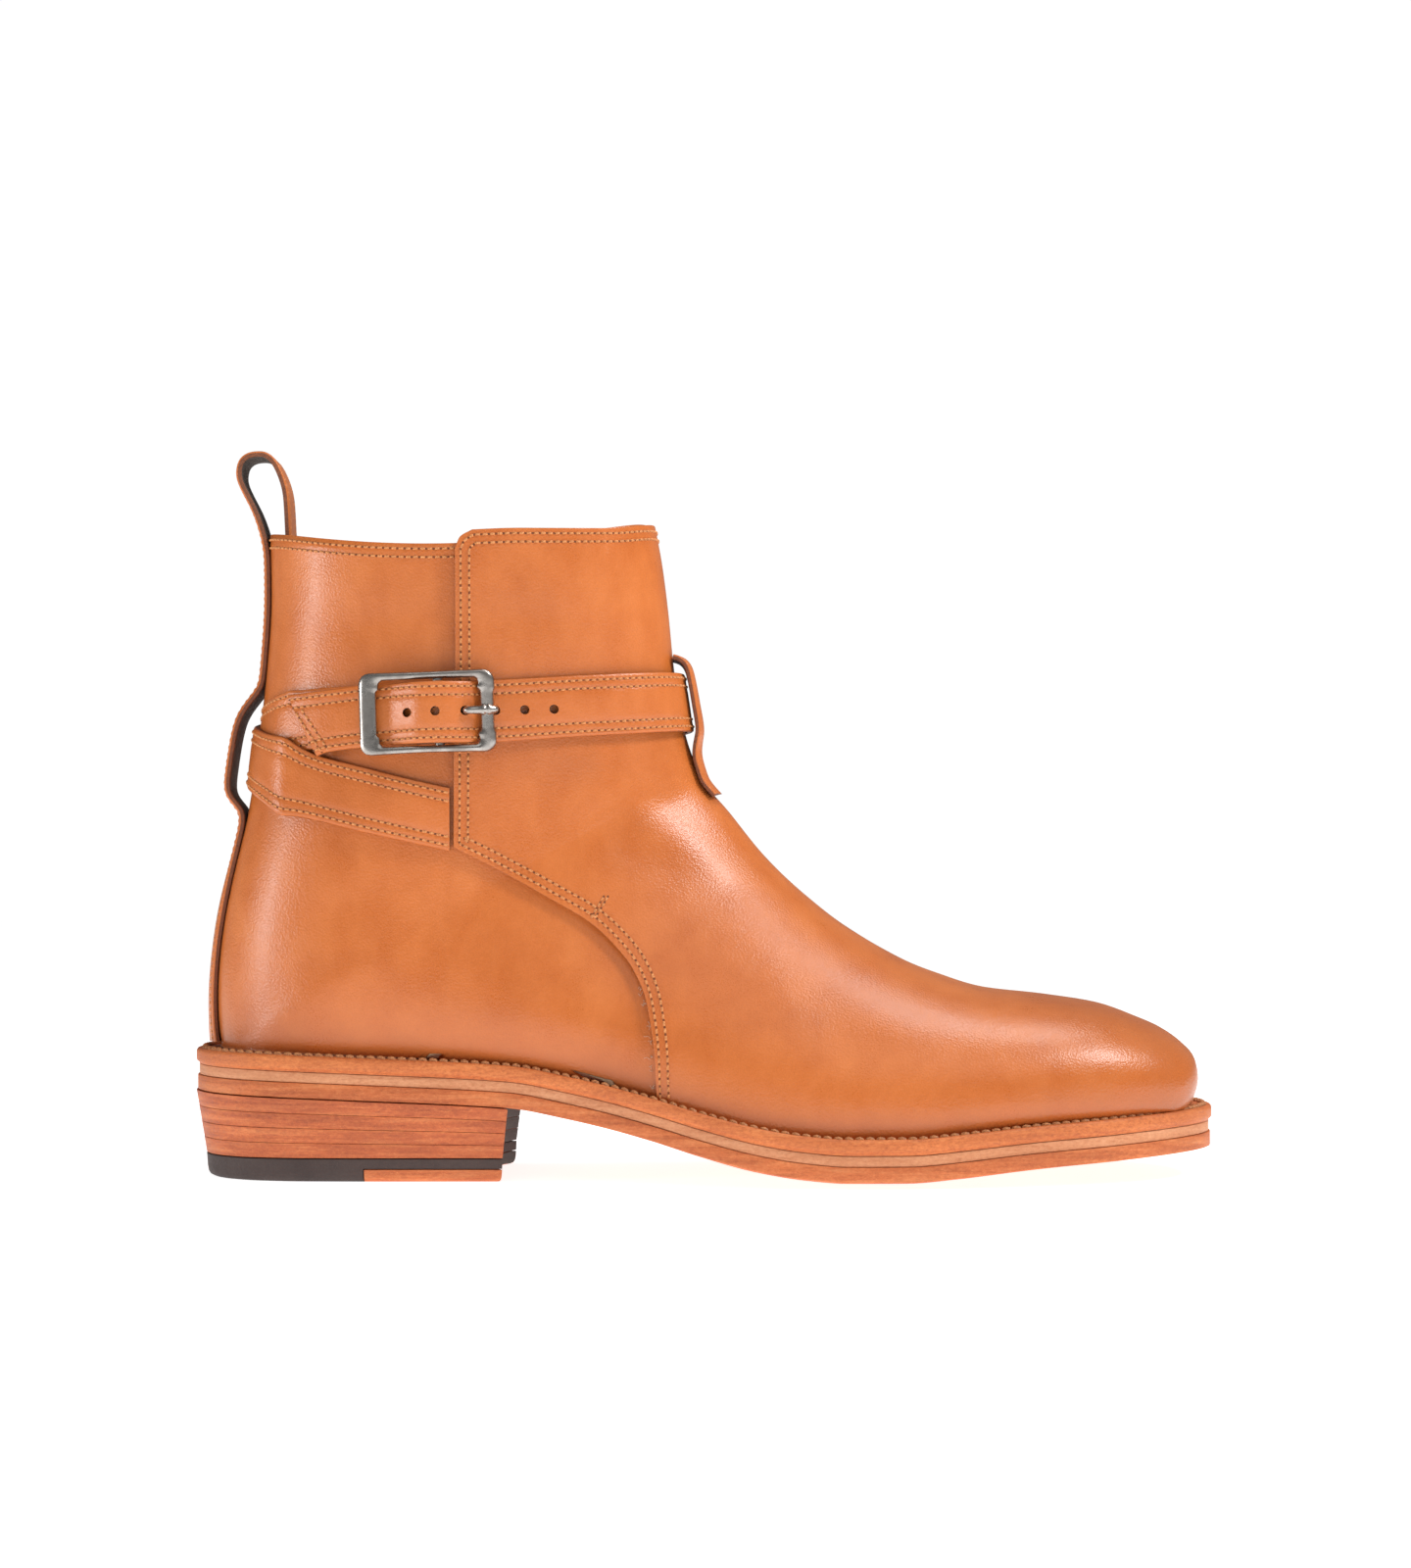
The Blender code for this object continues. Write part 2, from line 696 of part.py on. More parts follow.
def section_values(t):
    rows = range(len(SECTIONS))
    return [float(smooth(rows, column(SECTIONS, k), t)) for k in range(11)]


def section_points(t, flank_steps, crown_steps):
    """Points of one section from the outer base over the ridge to the inner base."""
    (ridge_at, ridge_up, base_at, base_up, outer, inner, widest, crown, flank, lean, dip) = (
        section_values(t)
    )
    ridge_s, ridge_z = place(ridge_at, ridge_up)
    base_s, base_z = place(base_at, base_up)
    if t == 0:
        ridge_s = FEATHER_TOE
    on_seam = base_up > 0
    if not on_seam:
        base_s = max(base_s, FEATHER_BACK)
    feather = width_at(FEATHER, base_s)
    on_seam = on_seam or base_s <= FEATHER_BACK
    shares = [
        widest * (1 - math.cos(0.5 * math.pi * i / flank_steps)) for i in range(flank_steps)
    ]
    shares += [
        widest + (1 - widest) * math.sin(0.5 * math.pi * i / crown_steps)
        for i in range(crown_steps + 1)
    ]
    halves = []
    for side, top in ((-1, outer * BALL_WIDTH), (1, inner * BALL_WIDTH)):
        base = 0.0 if on_seam else feather[0 if side < 0 else 1]
        lift = 0.0 if on_seam else float(underside(base_s, side * base) - underside(base_s, 0.0))
        points = []
        for share in shares:
            s = base_s + (ridge_s - base_s) * share
            z = base_z + (ridge_z - base_z) * share + lift * (1 - share)
            z -= 4 * dip * UPPER_HEIGHT * share * (1 - share)
            width = side_width((max(top, base), crown, flank), share, base, widest)
            y = side * width + lean * BALL_WIDTH * share
            points.append(Vector((s - ORIGIN_FROM_BACK, y, z)))
        halves.append(points)
    return halves[0] + halves[1][-2::-1]


def upper_rows(fine):
    rows = []
    for i, row in enumerate(SECTIONS[:-1]):
        cuts = row[-1] * fine
        rows += [i + k / cuts for k in range(cuts)]
    return rows + [len(SECTIONS) - 1]


def skin(name, offset, fine=1, rise=0.0):
    """Open surface of the upper, moved out from the quarters' outside by an offset.

    A rise adds a last row that far above the collar.
    """
    grid = [section_points(t, FLANK_STEPS * fine, CROWN_STEPS * fine) for t in upper_rows(fine)]
    if rise:
        grid.append([p + Vector((0, 0, rise)) for p in grid[-1]])
    points = [p for row in grid for p in row]
    mesh = mesh_from(name, points, grid_faces(len(grid), len(grid[0])))
    shape = bmesh.new()
    shape.from_mesh(mesh)
    centre = Vector((0.25 * SHOE_LENGTH - ORIGIN_FROM_BACK, 0, 0.5 * UPPER_HEIGHT))
    shape.normal_update()
    balance = sum((f.calc_center_median() - centre).dot(f.normal) for f in shape.faces)
    if balance < 0:
        bmesh.ops.reverse_faces(shape, faces=shape.faces)
        shape.normal_update()
    for vert, move in [(v, v.normal.copy() * offset) for v in shape.verts]:
        vert.co += move
    shape.to_mesh(mesh)
    shape.free()
    mesh.shade_smooth()
    return mesh


def make_welt_block():
    """Cutter that fills the room just above the welt and below it."""
    outside = inset_plan(-2 * WELT_MARGIN)
    places = stations(*ends(outside))
    top = plate_grid(outside, places, WELT_TOP + GAP)
    low = plate_grid(outside, places, WELT_TOP - HEEL_RISE)
    return new_object("welt_block", mesh_from("welt_block", *slab(top, low)), None, CUTTERS)


WELT_BLOCK = make_welt_block()


def make_upper():
    upper = new_object("upper", skin("upper", 0.0), "tan_leather")
    add_solidify(upper, QUARTER_THICKNESS, -1.0)
    add_cut(upper, WELT_BLOCK)


def side_prism(name, outline, half_width):
    """Cutter with a side-view outline, as wide as both sides of the boot."""
    ring = [(s - ORIGIN_FROM_BACK, z) for s, z in outline]
    points = [(x, -half_width, z) for x, z in ring] + [(x, half_width, z) for x, z in ring]
    count = len(ring)
    faces = [tuple(range(count)), tuple(range(2 * count - 1, count - 1, -1))]
    for a in range(count):
        b = (a + 1) % count
        faces.append((b, a, a + count, b + count))
    return new_object(name, mesh_from(name, points, faces), None, CUTTERS)


def make_vamp():
    """Vamp and front of the shaft in one, laid over the quarters."""
    vamp = new_object("vamp", skin("vamp", GAP, rise=COLLAR_STEP), "tan_leather")
    add_solidify(vamp, VAMP_THICKNESS, 1.0)
    beyond = SHOE_LENGTH + WELT_MARGIN
    outline = [place(at, up) for at, up in VAMP_EDGE]
    outline += [(beyond, outline[-1][1]), (beyond, outline[0][1] - HEEL_RISE)]
    outline += [(outline[0][0], outline[0][1] - HEEL_RISE)]
    add_cut(vamp, side_prism("vamp_outline", outline, BALL_WIDTH), "INTERSECT")
    add_cut(vamp, WELT_BLOCK)


# Straps

LAYER = max(STRAP_THICKNESS, VAMP_THICKNESS) + GAP
SHAFT_MIDDLE = 0.2475


def make_guide():
    mesh = skin("guide", 0.0, GUIDE_FINENESS, 2 * COLLAR_STEP)
    points = [v.co.copy() for v in mesh.vertices]
    polygons = [tuple(f.vertices) for f in mesh.polygons]
    bpy.data.meshes.remove(mesh)
    return BVHTree.FromPolygons(points, polygons)


GUIDE = make_guide()


def shaft_height(up):
    return place(SHAFT_MIDDLE, 0.0)[1] + up * UPPER_HEIGHT


def on_upper(s, turn, z, out, y=0.0):
    """Point beside the upper where a level ray from its middle plane comes out."""
    direction = Vector((math.cos(math.radians(turn)), math.sin(math.radians(turn)), 0))
    start = Vector((s - ORIGIN_FROM_BACK, y, z))
    point, normal, _, _ = GUIDE.ray_cast(start, direction)
    if normal.dot(direction) < 0:
        normal = -normal
    return point + normal * out


def buckle_up(at):
    return BUCKLE_UP + BUCKLE_SLOPE * (at - BUCKLE_AT)


def strap_rows(table):
    """Centre line of a strap: place, turn, height, distance out and slant of each row."""
    index = range(len(table))
    ups = [buckle_up(row[0]) if row[2] is None else row[2] for row in table]
    columns = [column(table, 0), column(table, 1), ups, column(table, 3), column(table, 4)]
    result = []
    for t in np.linspace(0, len(table) - 1, STRAP_STEPS * (len(table) - 1) + 1):
        at, turn, up, layer, slant = (float(smooth(index, values, t)) for values in columns)
        result.append((at * SHOE_LENGTH, turn, shaft_height(up), GAP + layer * LAYER, slant))
    return result


def strap_grid(rows):
    grid = []
    for k, (s, turn, z, out, slant) in enumerate(rows):
        before = rows[max(k - 1, 0)]
        after = rows[min(k + 1, len(rows) - 1)]
        run = on_upper(*after[:3], 0.0) - on_upper(*before[:3], 0.0)
        stretch = run.length / max(math.hypot(run.x, run.y), 1e-6)
        line = []
        for share in STRIP_ACROSS:
            shift = share * slant * STRAP_WIDTH
            height = z + share * STRAP_WIDTH * stretch
            line.append(on_upper(s - shift, turn, height, out))
        grid.append(line)
    return grid


def strap_object(name, grid):
    points = [p for line in grid for p in line]
    mesh = mesh_from(name, points, grid_faces(len(grid), 3))
    strap = new_object(name, mesh, "tan_leather")
    shape = bmesh.new()
    shape.from_mesh(mesh)
    shape.faces.ensure_lookup_table()
    first = shape.faces[0]
    side = Vector((0, -1 if first.calc_center_median().y < 0 else 1, 0))
    if first.normal.dot(side) < 0:
        bmesh.ops.reverse_faces(shape, faces=shape.faces)
    shape.to_mesh(mesh)
    shape.free()
    add_solidify(strap, STRAP_THICKNESS, 1.0)
    return strap


FRAME_OUT = GAP + LAYER + STRAP_THICKNESS + BUCKLE_LIFT
FRAME_WINDOW = STRAP_WIDTH + 2 * BUCKLE_PLAY
FRAME_HEIGHT = FRAME_WINDOW + 2 * FRAME_EDGE_BAR
BAR_OUT = FRAME_OUT - BAR_DROP
PRONG_HOLE_ALONG = 0.5 * FRAME_LENGTH - FRAME_FRONT_BAR - PRONG_HOLE_BACK
# Long enough to pass through the strap where it arches over the buckle
HOLE_CUT_DEPTH = 5 * FRAME_OUT


def on_buckle(along, across, out):
    """Point of the buckle's own sheet, along the strap and across it from its middle."""
    tilt = math.atan(BUCKLE_SLOPE * UPPER_HEIGHT / SHOE_LENGTH)
    s = BUCKLE_AT * SHOE_LENGTH + along * math.cos(tilt) - across * math.sin(tilt)
    z = shaft_height(BUCKLE_UP) + along * math.sin(tilt) + across * math.cos(tilt)
    base = on_upper(s, -90, z, 0.0)
    return Vector((base.x, base.y - out, base.z))


def make_long_strap():
    strap = strap_object("long_strap", strap_grid(strap_rows(LONG_STRAP)))
    for k in range(HOLE_COUNT):
        along = PRONG_HOLE_ALONG + (k - PRONG_HOLE) * HOLE_PITCH
        name = f"strap_hole_{k + 1}"
        add_cut(strap, round_cutter(name, on_buckle(along, 0.0, 0.0), HOLE_RADIUS))


def round_cutter(name, point, radius):
    shape = bmesh.new()
    bmesh.ops.create_cone(
        shape,
        cap_ends=True,
        segments=8,
        radius1=radius,
        radius2=radius,
        depth=HOLE_CUT_DEPTH,
    )
    mesh = bpy.data.meshes.new(name)
    shape.to_mesh(mesh)
    shape.free()
    item = new_object(name, mesh, None, CUTTERS)
    item.location = (point.x, point.y, point.z)
    item.rotation_euler = (0.5 * math.pi, 0, 0)
    return item


def make_buckle_strap():
    """Strap that carries the buckle: it wraps the centre bar and returns beneath itself."""
    rows = strap_rows(BUCKLE_STRAP)
    grid = strap_grid(rows)
    reach = CENTRE_BAR_RADIUS + GAP
    fold = [
        (CENTRE_BAR_FORWARD + reach * math.sin(a), BAR_OUT + reach * math.cos(a))
        for a in (math.pi * k / FOLD_STEPS for k in range(FOLD_STEPS + 1))
    ]
    under = BAR_OUT - reach
    fold += [(0.0, under), (-FOLD_RETURN, under)]
    for along, out in fold:
        grid.append([on_buckle(along, share * STRAP_WIDTH, out) for share in STRIP_ACROSS])
    strap_object("buckle_strap", grid)


def sheet_slab(along_range, across_range, out, thickness, along_steps, across_steps):
    inner = []
    outer = []
    for i in range(along_steps + 1):
        along = along_range[0] + (along_range[1] - along_range[0]) * i / along_steps
        rows = ([], [])
        for j in range(across_steps + 1):
            across = across_range[0] + (across_range[1] - across_range[0]) * j / across_steps
            rows[0].append(on_buckle(along, across, out))
            rows[1].append(on_buckle(along, across, out + thickness))
        inner.append(rows[0])
        outer.append(rows[1])
    return slab(outer, inner)


def make_buckle():
    half = 0.5 * FRAME_LENGTH
    tall = 0.5 * FRAME_HEIGHT
    name = "buckle_frame"
    body = sheet_slab((-half, half), (-tall, tall), FRAME_OUT, FRAME_THICKNESS, 8, 2)
    frame = new_object(name, mesh_from(name, *body), "buckle_metal")
    window = sheet_slab(
        (-half + FRAME_REAR_BAR, half - FRAME_FRONT_BAR),
        (-0.5 * FRAME_WINDOW, 0.5 * FRAME_WINDOW),
        FRAME_OUT - FRAME_THICKNESS,
        3 * FRAME_THICKNESS,
        6,
        1,
    )
    add_cut(frame, new_object("buckle_window", mesh_from("window", *window), None, CUTTERS))
    low = on_buckle(CENTRE_BAR_FORWARD, -tall + 0.5 * FRAME_EDGE_BAR, BAR_OUT)
    high = on_buckle(CENTRE_BAR_FORWARD, tall - 0.5 * FRAME_EDGE_BAR, BAR_OUT)
    bar = rod("centre_bar", [low, high], CENTRE_BAR_RADIUS, CUTTERS)
    add_cut(frame, bar, "UNION")

    half_bar = half - 0.5 * FRAME_FRONT_BAR
    over = FRAME_OUT + FRAME_THICKNESS + 2 * GAP + PRONG_RADIUS
    path = [
        (PRONG_HOLE_ALONG, over - PRONG_DROP),
        (PRONG_HOLE_ALONG, over - PRONG_BEND),
        (PRONG_HOLE_ALONG + PRONG_BEND, over),
        (half_bar, over),
        (half_bar + PRONG_OVERHANG, over),
    ]
    rod("buckle_prong", [on_buckle(a, 0.0, out) for a, out in path], PRONG_RADIUS)


def rod(name, points, radius, collection=PARTS):
    curve = bpy.data.curves.new(name, "CURVE")
    curve.dimensions = "3D"
    curve.bevel_depth = radius
    curve.bevel_resolution = 2
    curve.use_fill_caps = True
    spline = curve.splines.new("POLY")
    spline.points.add(len(points) - 1)
    for target, point in zip(spline.points, points):
        target.co = (*point, 1.0)
    source = bpy.data.objects.new(name + "_curve", curve)
    PARTS.objects.link(source)
    bpy.context.view_layer.update()
    graph = bpy.context.evaluated_depsgraph_get()
    mesh = bpy.data.meshes.new_from_object(source.evaluated_get(graph))
    shape = bmesh.new()
    shape.from_mesh(mesh)
    bmesh.ops.remove_doubles(shape, verts=shape.verts, dist=1e-6)
    bmesh.ops.recalc_face_normals(shape, faces=shape.faces)
    shape.to_mesh(mesh)
    shape.free()
    bpy.data.objects.remove(source, do_unlink=True)
    mesh.name = name
    return new_object(name, mesh, "buckle_metal" if collection is PARTS else None, collection)


def strip_line(up, layer, turn, width, thickness):
    """Three points across the outer face of a strip on the boot's middle plane."""
    start = SHAFT_MIDDLE * SHOE_LENGTH
    z = shaft_height(up)
    out = GAP + layer * LAYER + thickness
    half = 0.5 * width
    middle = on_upper(start, turn, z, out)
    surface = on_upper(start, turn, z, 0.0).x
    drop = max(abs(surface - on_upper(start, turn, z, 0.0, half).x), 1e-5)
    radius = half**2 / (2 * drop)
    edge = middle.x - math.cos(math.radians(turn)) * half**2 / (2 * (radius + out))
    return [Vector((edge, -half, middle.z)), middle, Vector((edge, half, middle.z))]


def strip_object(name, grid, thickness, backward):
    mesh = mesh_from(name, [p for line in grid for p in line], grid_faces(len(grid), 3))
    shape = bmesh.new()
    shape.from_mesh(mesh)
    shape.faces.ensure_lookup_table()
    if shape.faces[0].normal.x * (-1 if backward else 1) < 0:
        bmesh.ops.reverse_faces(shape, faces=shape.faces)
    shape.to_mesh(mesh)
    shape.free()
    strip = new_object(name, mesh, "tan_leather")
    add_solidify(strip, thickness, -1.0)
    return strip


def make_back_strip():
    grid = []
    index = range(len(BACK_STRIP))
    for t in np.linspace(0, len(BACK_STRIP) - 1, BACK_STRIP_ROWS):
        up = float(smooth(index, column(BACK_STRIP, 0), t))
        layer = float(smooth(index, column(BACK_STRIP, 1), t))
        grid.append(strip_line(up, layer, 180, STRIP_WIDTH, STRIP_THICKNESS))
    collar_s, collar_z = place(SECTIONS[-1][2], SECTIONS[-1][3])
    for back, up in PULL_LOOP:
        x = collar_s - ORIGIN_FROM_BACK - back * PULL_LOOP_DEPTH
        z = collar_z + up * PULL_LOOP_HEIGHT
        grid.append([Vector((x, share * STRIP_WIDTH, z)) for share in STRIP_ACROSS])
    strip_object("back_strip", grid, STRIP_THICKNESS, True)


def make_front_keeper():
    grid = []
    for up, layer in FRONT_KEEPER:
        grid.append(strip_line(up, layer, 0, KEEPER_WIDTH, KEEPER_THICKNESS))
    strip_object("front_keeper", grid, KEEPER_THICKNESS, False)


make_sole()
make_heel()
make_upper()
make_vamp()
make_long_strap()
make_buckle_strap()
make_buckle()
make_back_strip()
make_front_keeper()
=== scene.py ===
"""Looks of a right jodhpur boot in tan leather, built around its solids.

Metres, +Z up. +X points to the toe, -Y is the outer side that carries the buckle.
The origin lies on the floor under the heel.
"""

import math

import bmesh
import bpy
import numpy as np
from mathutils import Matrix, Vector
from mathutils.bvhtree import BVHTree
from mathutils.interpolate import poly_3d_calc


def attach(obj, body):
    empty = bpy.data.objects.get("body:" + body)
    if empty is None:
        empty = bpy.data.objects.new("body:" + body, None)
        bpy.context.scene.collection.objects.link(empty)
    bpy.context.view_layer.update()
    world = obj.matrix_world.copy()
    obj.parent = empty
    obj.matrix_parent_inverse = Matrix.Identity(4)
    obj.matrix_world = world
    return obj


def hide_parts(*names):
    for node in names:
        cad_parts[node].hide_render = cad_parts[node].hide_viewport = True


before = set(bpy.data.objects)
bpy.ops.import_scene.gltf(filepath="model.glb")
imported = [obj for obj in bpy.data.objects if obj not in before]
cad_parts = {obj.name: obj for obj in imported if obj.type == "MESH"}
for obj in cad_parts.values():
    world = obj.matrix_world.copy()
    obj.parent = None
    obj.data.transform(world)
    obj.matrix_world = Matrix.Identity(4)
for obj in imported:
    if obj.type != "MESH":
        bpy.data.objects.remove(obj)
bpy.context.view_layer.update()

# Sole and heel
SHOE_LENGTH = 0.303
BALL_WIDTH = 0.0995
ORIGIN_FROM_BACK = 0.045
HEEL_RISE = 0.0258
TOE_SPRING = 0.0090
EDGE_LIFT = 0.0022
OUTSOLE_THICKNESS = 0.0042
MIDSOLE_THICKNESS = 0.0028
WELT_THICKNESS = 0.0046
OUTSOLE_INSET = 0.0004
MIDSOLE_INSET = 0.0009
WELT_MARGIN = 0.0052
WELT_RIM = 0.0030
TOE_SHELF = 0.0022
HEEL_SHELF = 0.0018
INSOLE_THICKNESS = 0.0025
INSOLE_PLAY = 0.0016
HEEL_LENGTH = 0.0950
HEEL_TAPER = 0.0030
BREAST_HOLLOW = 0.0060
BREAST_RAKE = 0.0017
LIFT_COUNT = 4
TOP_PIECE_THICKNESS = 0.0068
TOP_PIECE_BEVEL = 0.0034
INSERT_THICKNESS = 0.0040
INSERT_BACK = 0.0530

# Upper
UPPER_HEIGHT = 0.1560
QUARTER_THICKNESS = 0.0020
VAMP_THICKNESS = 0.0018
COLLAR_STEP = 0.0060

# Straps, keepers and pull loop
STRAP_WIDTH = 0.0178
STRAP_THICKNESS = 0.0020
STRIP_WIDTH = 0.0125
STRIP_THICKNESS = 0.0017
KEEPER_WIDTH = 0.0125
KEEPER_THICKNESS = 0.0016
PULL_LOOP_HEIGHT = 0.0250
PULL_LOOP_DEPTH = 0.0160
HOLE_RADIUS = 0.0013
HOLE_PITCH = 0.0083
HOLE_COUNT = 6
PRONG_HOLE = 2

# Buckle
BUCKLE_AT = 0.2384
BUCKLE_UP = 0.6390
BUCKLE_SLOPE = 0.0700
BUCKLE_PLAY = 0.0006
BUCKLE_LIFT = 0.0009
FRAME_LENGTH = 0.0391
FRAME_REAR_BAR = 0.0050
FRAME_FRONT_BAR = 0.0044
FRAME_EDGE_BAR = 0.0024
FRAME_THICKNESS = 0.0025
FOLD_RETURN = 0.0035
CENTRE_BAR_RADIUS = 0.0014
CENTRE_BAR_FORWARD = 0.0033
BAR_DROP = 0.0006
PRONG_RADIUS = 0.0010
PRONG_HOLE_BACK = 0.0040

# Clearance between pieces, and between the welt and what stands on it
GAP = 0.0003
SEAT_GAP = 0.0005

# Seams: distance of the two rows from an edge, stitch pitch, thread, and the dark disc of painted
# shade at each needle hole
SEAM_ROWS = (0.0015, 0.0039)
STITCH_PITCH = 0.0021
STITCH_LENGTH = 0.00165
THREAD_RADIUS = 0.00040
NEEDLE_HOLE = 0.00036
WELT_STITCH_INSET = 0.0024
WELT_STITCH_PITCH = 0.0030
WELT_THREAD_RADIUS = 0.00082

# Shares of SHOE_LENGTH over which the welt's shelf widens at the heel and at the toe,
# and over which the vamp's thickness moves the quarters inward
HEEL_SHELF_SPAN = (0.00, 0.08)
TOE_SHELF_SPAN = (0.90, 1.00)
VAMP_STEP_SPAN = (0.42, 0.50)

# Fineness of the meshes
SKIN_FINENESS = 5
FLANK_STEPS = 4
CROWN_STEPS = 5
PLAN_STATIONS = 170
PLATE_ACROSS = (0.0, 0.10, 0.25, 0.5, 0.75, 0.90, 1.0)
STRAP_STEPS = 9
STRIP_STEPS = 5

# Camera: 1440 by 1600 frame, level, looking along +Y
CAMERA_PLACE = (0.1069, -0.800, 0.084)
FOCAL_LENGTH = 61.22
SENSOR_HEIGHT = 36.0
CAMERA_SHIFT = 0.06875

# Plan of the sole. at: share of SHOE_LENGTH from the back; outer and inner
# half-widths: shares of BALL_WIDTH.
PLAN = (
    # at, outer, inner
    (0.000, 0.060, 0.060),
    (0.005, 0.115, 0.115),
    (0.017, 0.190, 0.190),
    (0.035, 0.250, 0.250),
    (0.066, 0.302, 0.302),
    (0.115, 0.331, 0.330),
    (0.200, 0.337, 0.330),
    (0.300, 0.335, 0.308),
    (0.395, 0.390, 0.275),
    (0.450, 0.440, 0.280),
    (0.500, 0.480, 0.310),
    (0.550, 0.502, 0.360),
    (0.640, 0.512, 0.460),
    (0.710, 0.503, 0.497),
    (0.780, 0.474, 0.485),
    (0.840, 0.430, 0.452),
    (0.890, 0.380, 0.402),
    (0.930, 0.320, 0.342),
    (0.962, 0.250, 0.270),
    (0.984, 0.175, 0.190),
    (0.995, 0.110, 0.120),
    (1.000, 0.055, 0.060),
)

# Height of the sole's underside. heel: share of HEEL_RISE; toe: share of TOE_SPRING;
# edge: share of EDGE_LIFT by which the edges curl up.
UNDERSIDE = (
    # at, heel, toe, edge
    (0.000, 1.000, 0.00, 0.00),
    (0.160, 0.930, 0.00, 0.00),
    (0.315, 0.840, 0.00, 0.00),
    (0.370, 0.715, 0.00, 0.20),
    (0.410, 0.600, 0.00, 0.40),
    (0.450, 0.465, 0.00, 0.60),
    (0.495, 0.295, 0.00, 0.85),
    (0.550, 0.120, 0.00, 1.00),
    (0.595, 0.035, 0.00, 1.00),
    (0.635, 0.000, 0.00, 1.00),
    (0.690, 0.000, 0.00, 1.00),
    (0.740, 0.000, 0.13, 1.00),
    (0.800, 0.000, 0.36, 0.90),
    (0.870, 0.000, 0.59, 0.60),
    (0.930, 0.000, 0.79, 0.30),
    (1.000, 0.000, 1.00, 0.00),
)

# Sections of the upper from the toe to the collar, each in a plane through a point on
# the front ridge and one at its base. at: shares of SHOE_LENGTH; up: shares of
# UPPER_HEIGHT above the welt; outer, inner and lean: shares of BALL_WIDTH; widest:
# share of the way from base to ridge; crown and flank: roundness above and below it;
# dip: share of UPPER_HEIGHT; cuts: rows up to the next section.
SECTIONS = (
    # ridge_at, ridge_up, base_at, base_up, outer, inner, widest, crown, flank, lean, dip, cuts
    (0.9685, 0.000, 0.948, 0.000, 0.215, 0.235, 0.10, 2.10, 1.00, 0.012, 0.0, 1),
    (0.9745, 0.023, 0.945, 0.000, 0.235, 0.255, 0.12, 2.15, 1.00, 0.012, 0.0, 1),
    (0.9785, 0.055, 0.941, 0.000, 0.255, 0.275, 0.15, 2.20, 1.00, 0.013, 0.0, 1),
    (0.9755, 0.085, 0.934, 0.000, 0.275, 0.297, 0.18, 2.25, 1.00, 0.014, 0.0, 1),
    (0.9650, 0.110, 0.922, 0.000, 0.302, 0.325, 0.20, 2.30, 1.00, 0.016, 0.0, 1),
    (0.9470, 0.138, 0.905, 0.000, 0.333, 0.355, 0.22, 2.30, 1.00, 0.018, 0.0, 1),
    (0.9220, 0.164, 0.880, 0.000, 0.368, 0.388, 0.23, 2.30, 1.00, 0.020, 0.0, 1),
    (0.8880, 0.194, 0.845, 0.000, 0.402, 0.420, 0.23, 2.28, 1.00, 0.022, 0.0, 1),
    (0.8380, 0.219, 0.790, 0.000, 0.437, 0.448, 0.23, 2.22, 1.00, 0.025, 0.0, 1),
    (0.7790, 0.244, 0.720, 0.000, 0.455, 0.455, 0.23, 2.15, 1.00, 0.028, 0.0, 2),
    (0.7290, 0.283, 0.635, 0.000, 0.462, 0.425, 0.23, 2.02, 1.00, 0.030, 0.0, 2),
    (0.6650, 0.346, 0.530, 0.000, 0.440, 0.350, 0.24, 1.90, 1.00, 0.030, 0.0, 3),
    (0.6020, 0.427, 0.400, 0.000, 0.390, 0.335, 0.26, 1.84, 1.00, 0.026, 0.0, 4),
    (0.5550, 0.499, 0.240, 0.000, 0.350, 0.340, 0.28, 1.82, 1.00, 0.020, 0.0, 3),
    (0.5190, 0.568, 0.100, 0.000, 0.338, 0.335, 0.31, 1.84, 0.85, 0.012, 0.0, 2),
    (0.4930, 0.612, 0.038, 0.000, 0.332, 0.330, 0.34, 1.88, 0.60, 0.006, 0.0, 3),
    (0.4860, 0.640, 0.018, 0.000, 0.326, 0.325, 0.37, 1.90, 0.52, 0.003, 0.0, 1),
    (0.4790, 0.670, 0.016, 0.091, 0.320, 0.320, 0.40, 1.94, 0.50, 0.000, 0.0, 2),
    (0.4705, 0.728, 0.023, 0.232, 0.317, 0.317, 0.43, 1.98, 0.50, 0.000, 0.0, 2),
    (0.4630, 0.819, 0.050, 0.453, 0.318, 0.318, 0.46, 2.02, 0.50, 0.000, 0.0, 2),
    (0.4575, 0.923, 0.066, 0.690, 0.328, 0.328, 0.48, 2.08, 0.50, 0.000, 0.010, 2),
    (0.4515, 1.009, 0.072, 0.858, 0.338, 0.338, 0.48, 2.12, 0.50, 0.000, 0.030, 1),
    (0.4445, 1.078, 0.071, 0.979, 0.346, 0.346, 0.48, 2.15, 0.50, 0.000, 0.050, 0),
)

# Rear edge and collar of the vamp, seen from the side.
VAMP_EDGE = (
    # at, up
    (0.457, -0.060),
    (0.455, 0.025),
    (0.4535, 0.080),
    (0.450, 0.132),
    (0.4445, 0.182),
    (0.432, 0.229),
    (0.414, 0.263),
    (0.391, 0.292),
    (0.354, 0.318),
    (0.299, 0.362),
    (0.262, 0.394),
    (0.2625, 0.560),
    (0.2640, 0.700),
    (0.2645, 0.943),
    (0.2690, 0.964),
    (0.2805, 0.979),
    (0.317, 0.988),
    (0.353, 1.003),
    (0.409, 1.036),
    (0.436, 1.062),
    (0.460, 1.092),
    (0.500, 1.130),
)
# Rows of VAMP_EDGE where its smooth runs start and end
VAMP_CORNERS = (0, 10, 13, 15, 21)

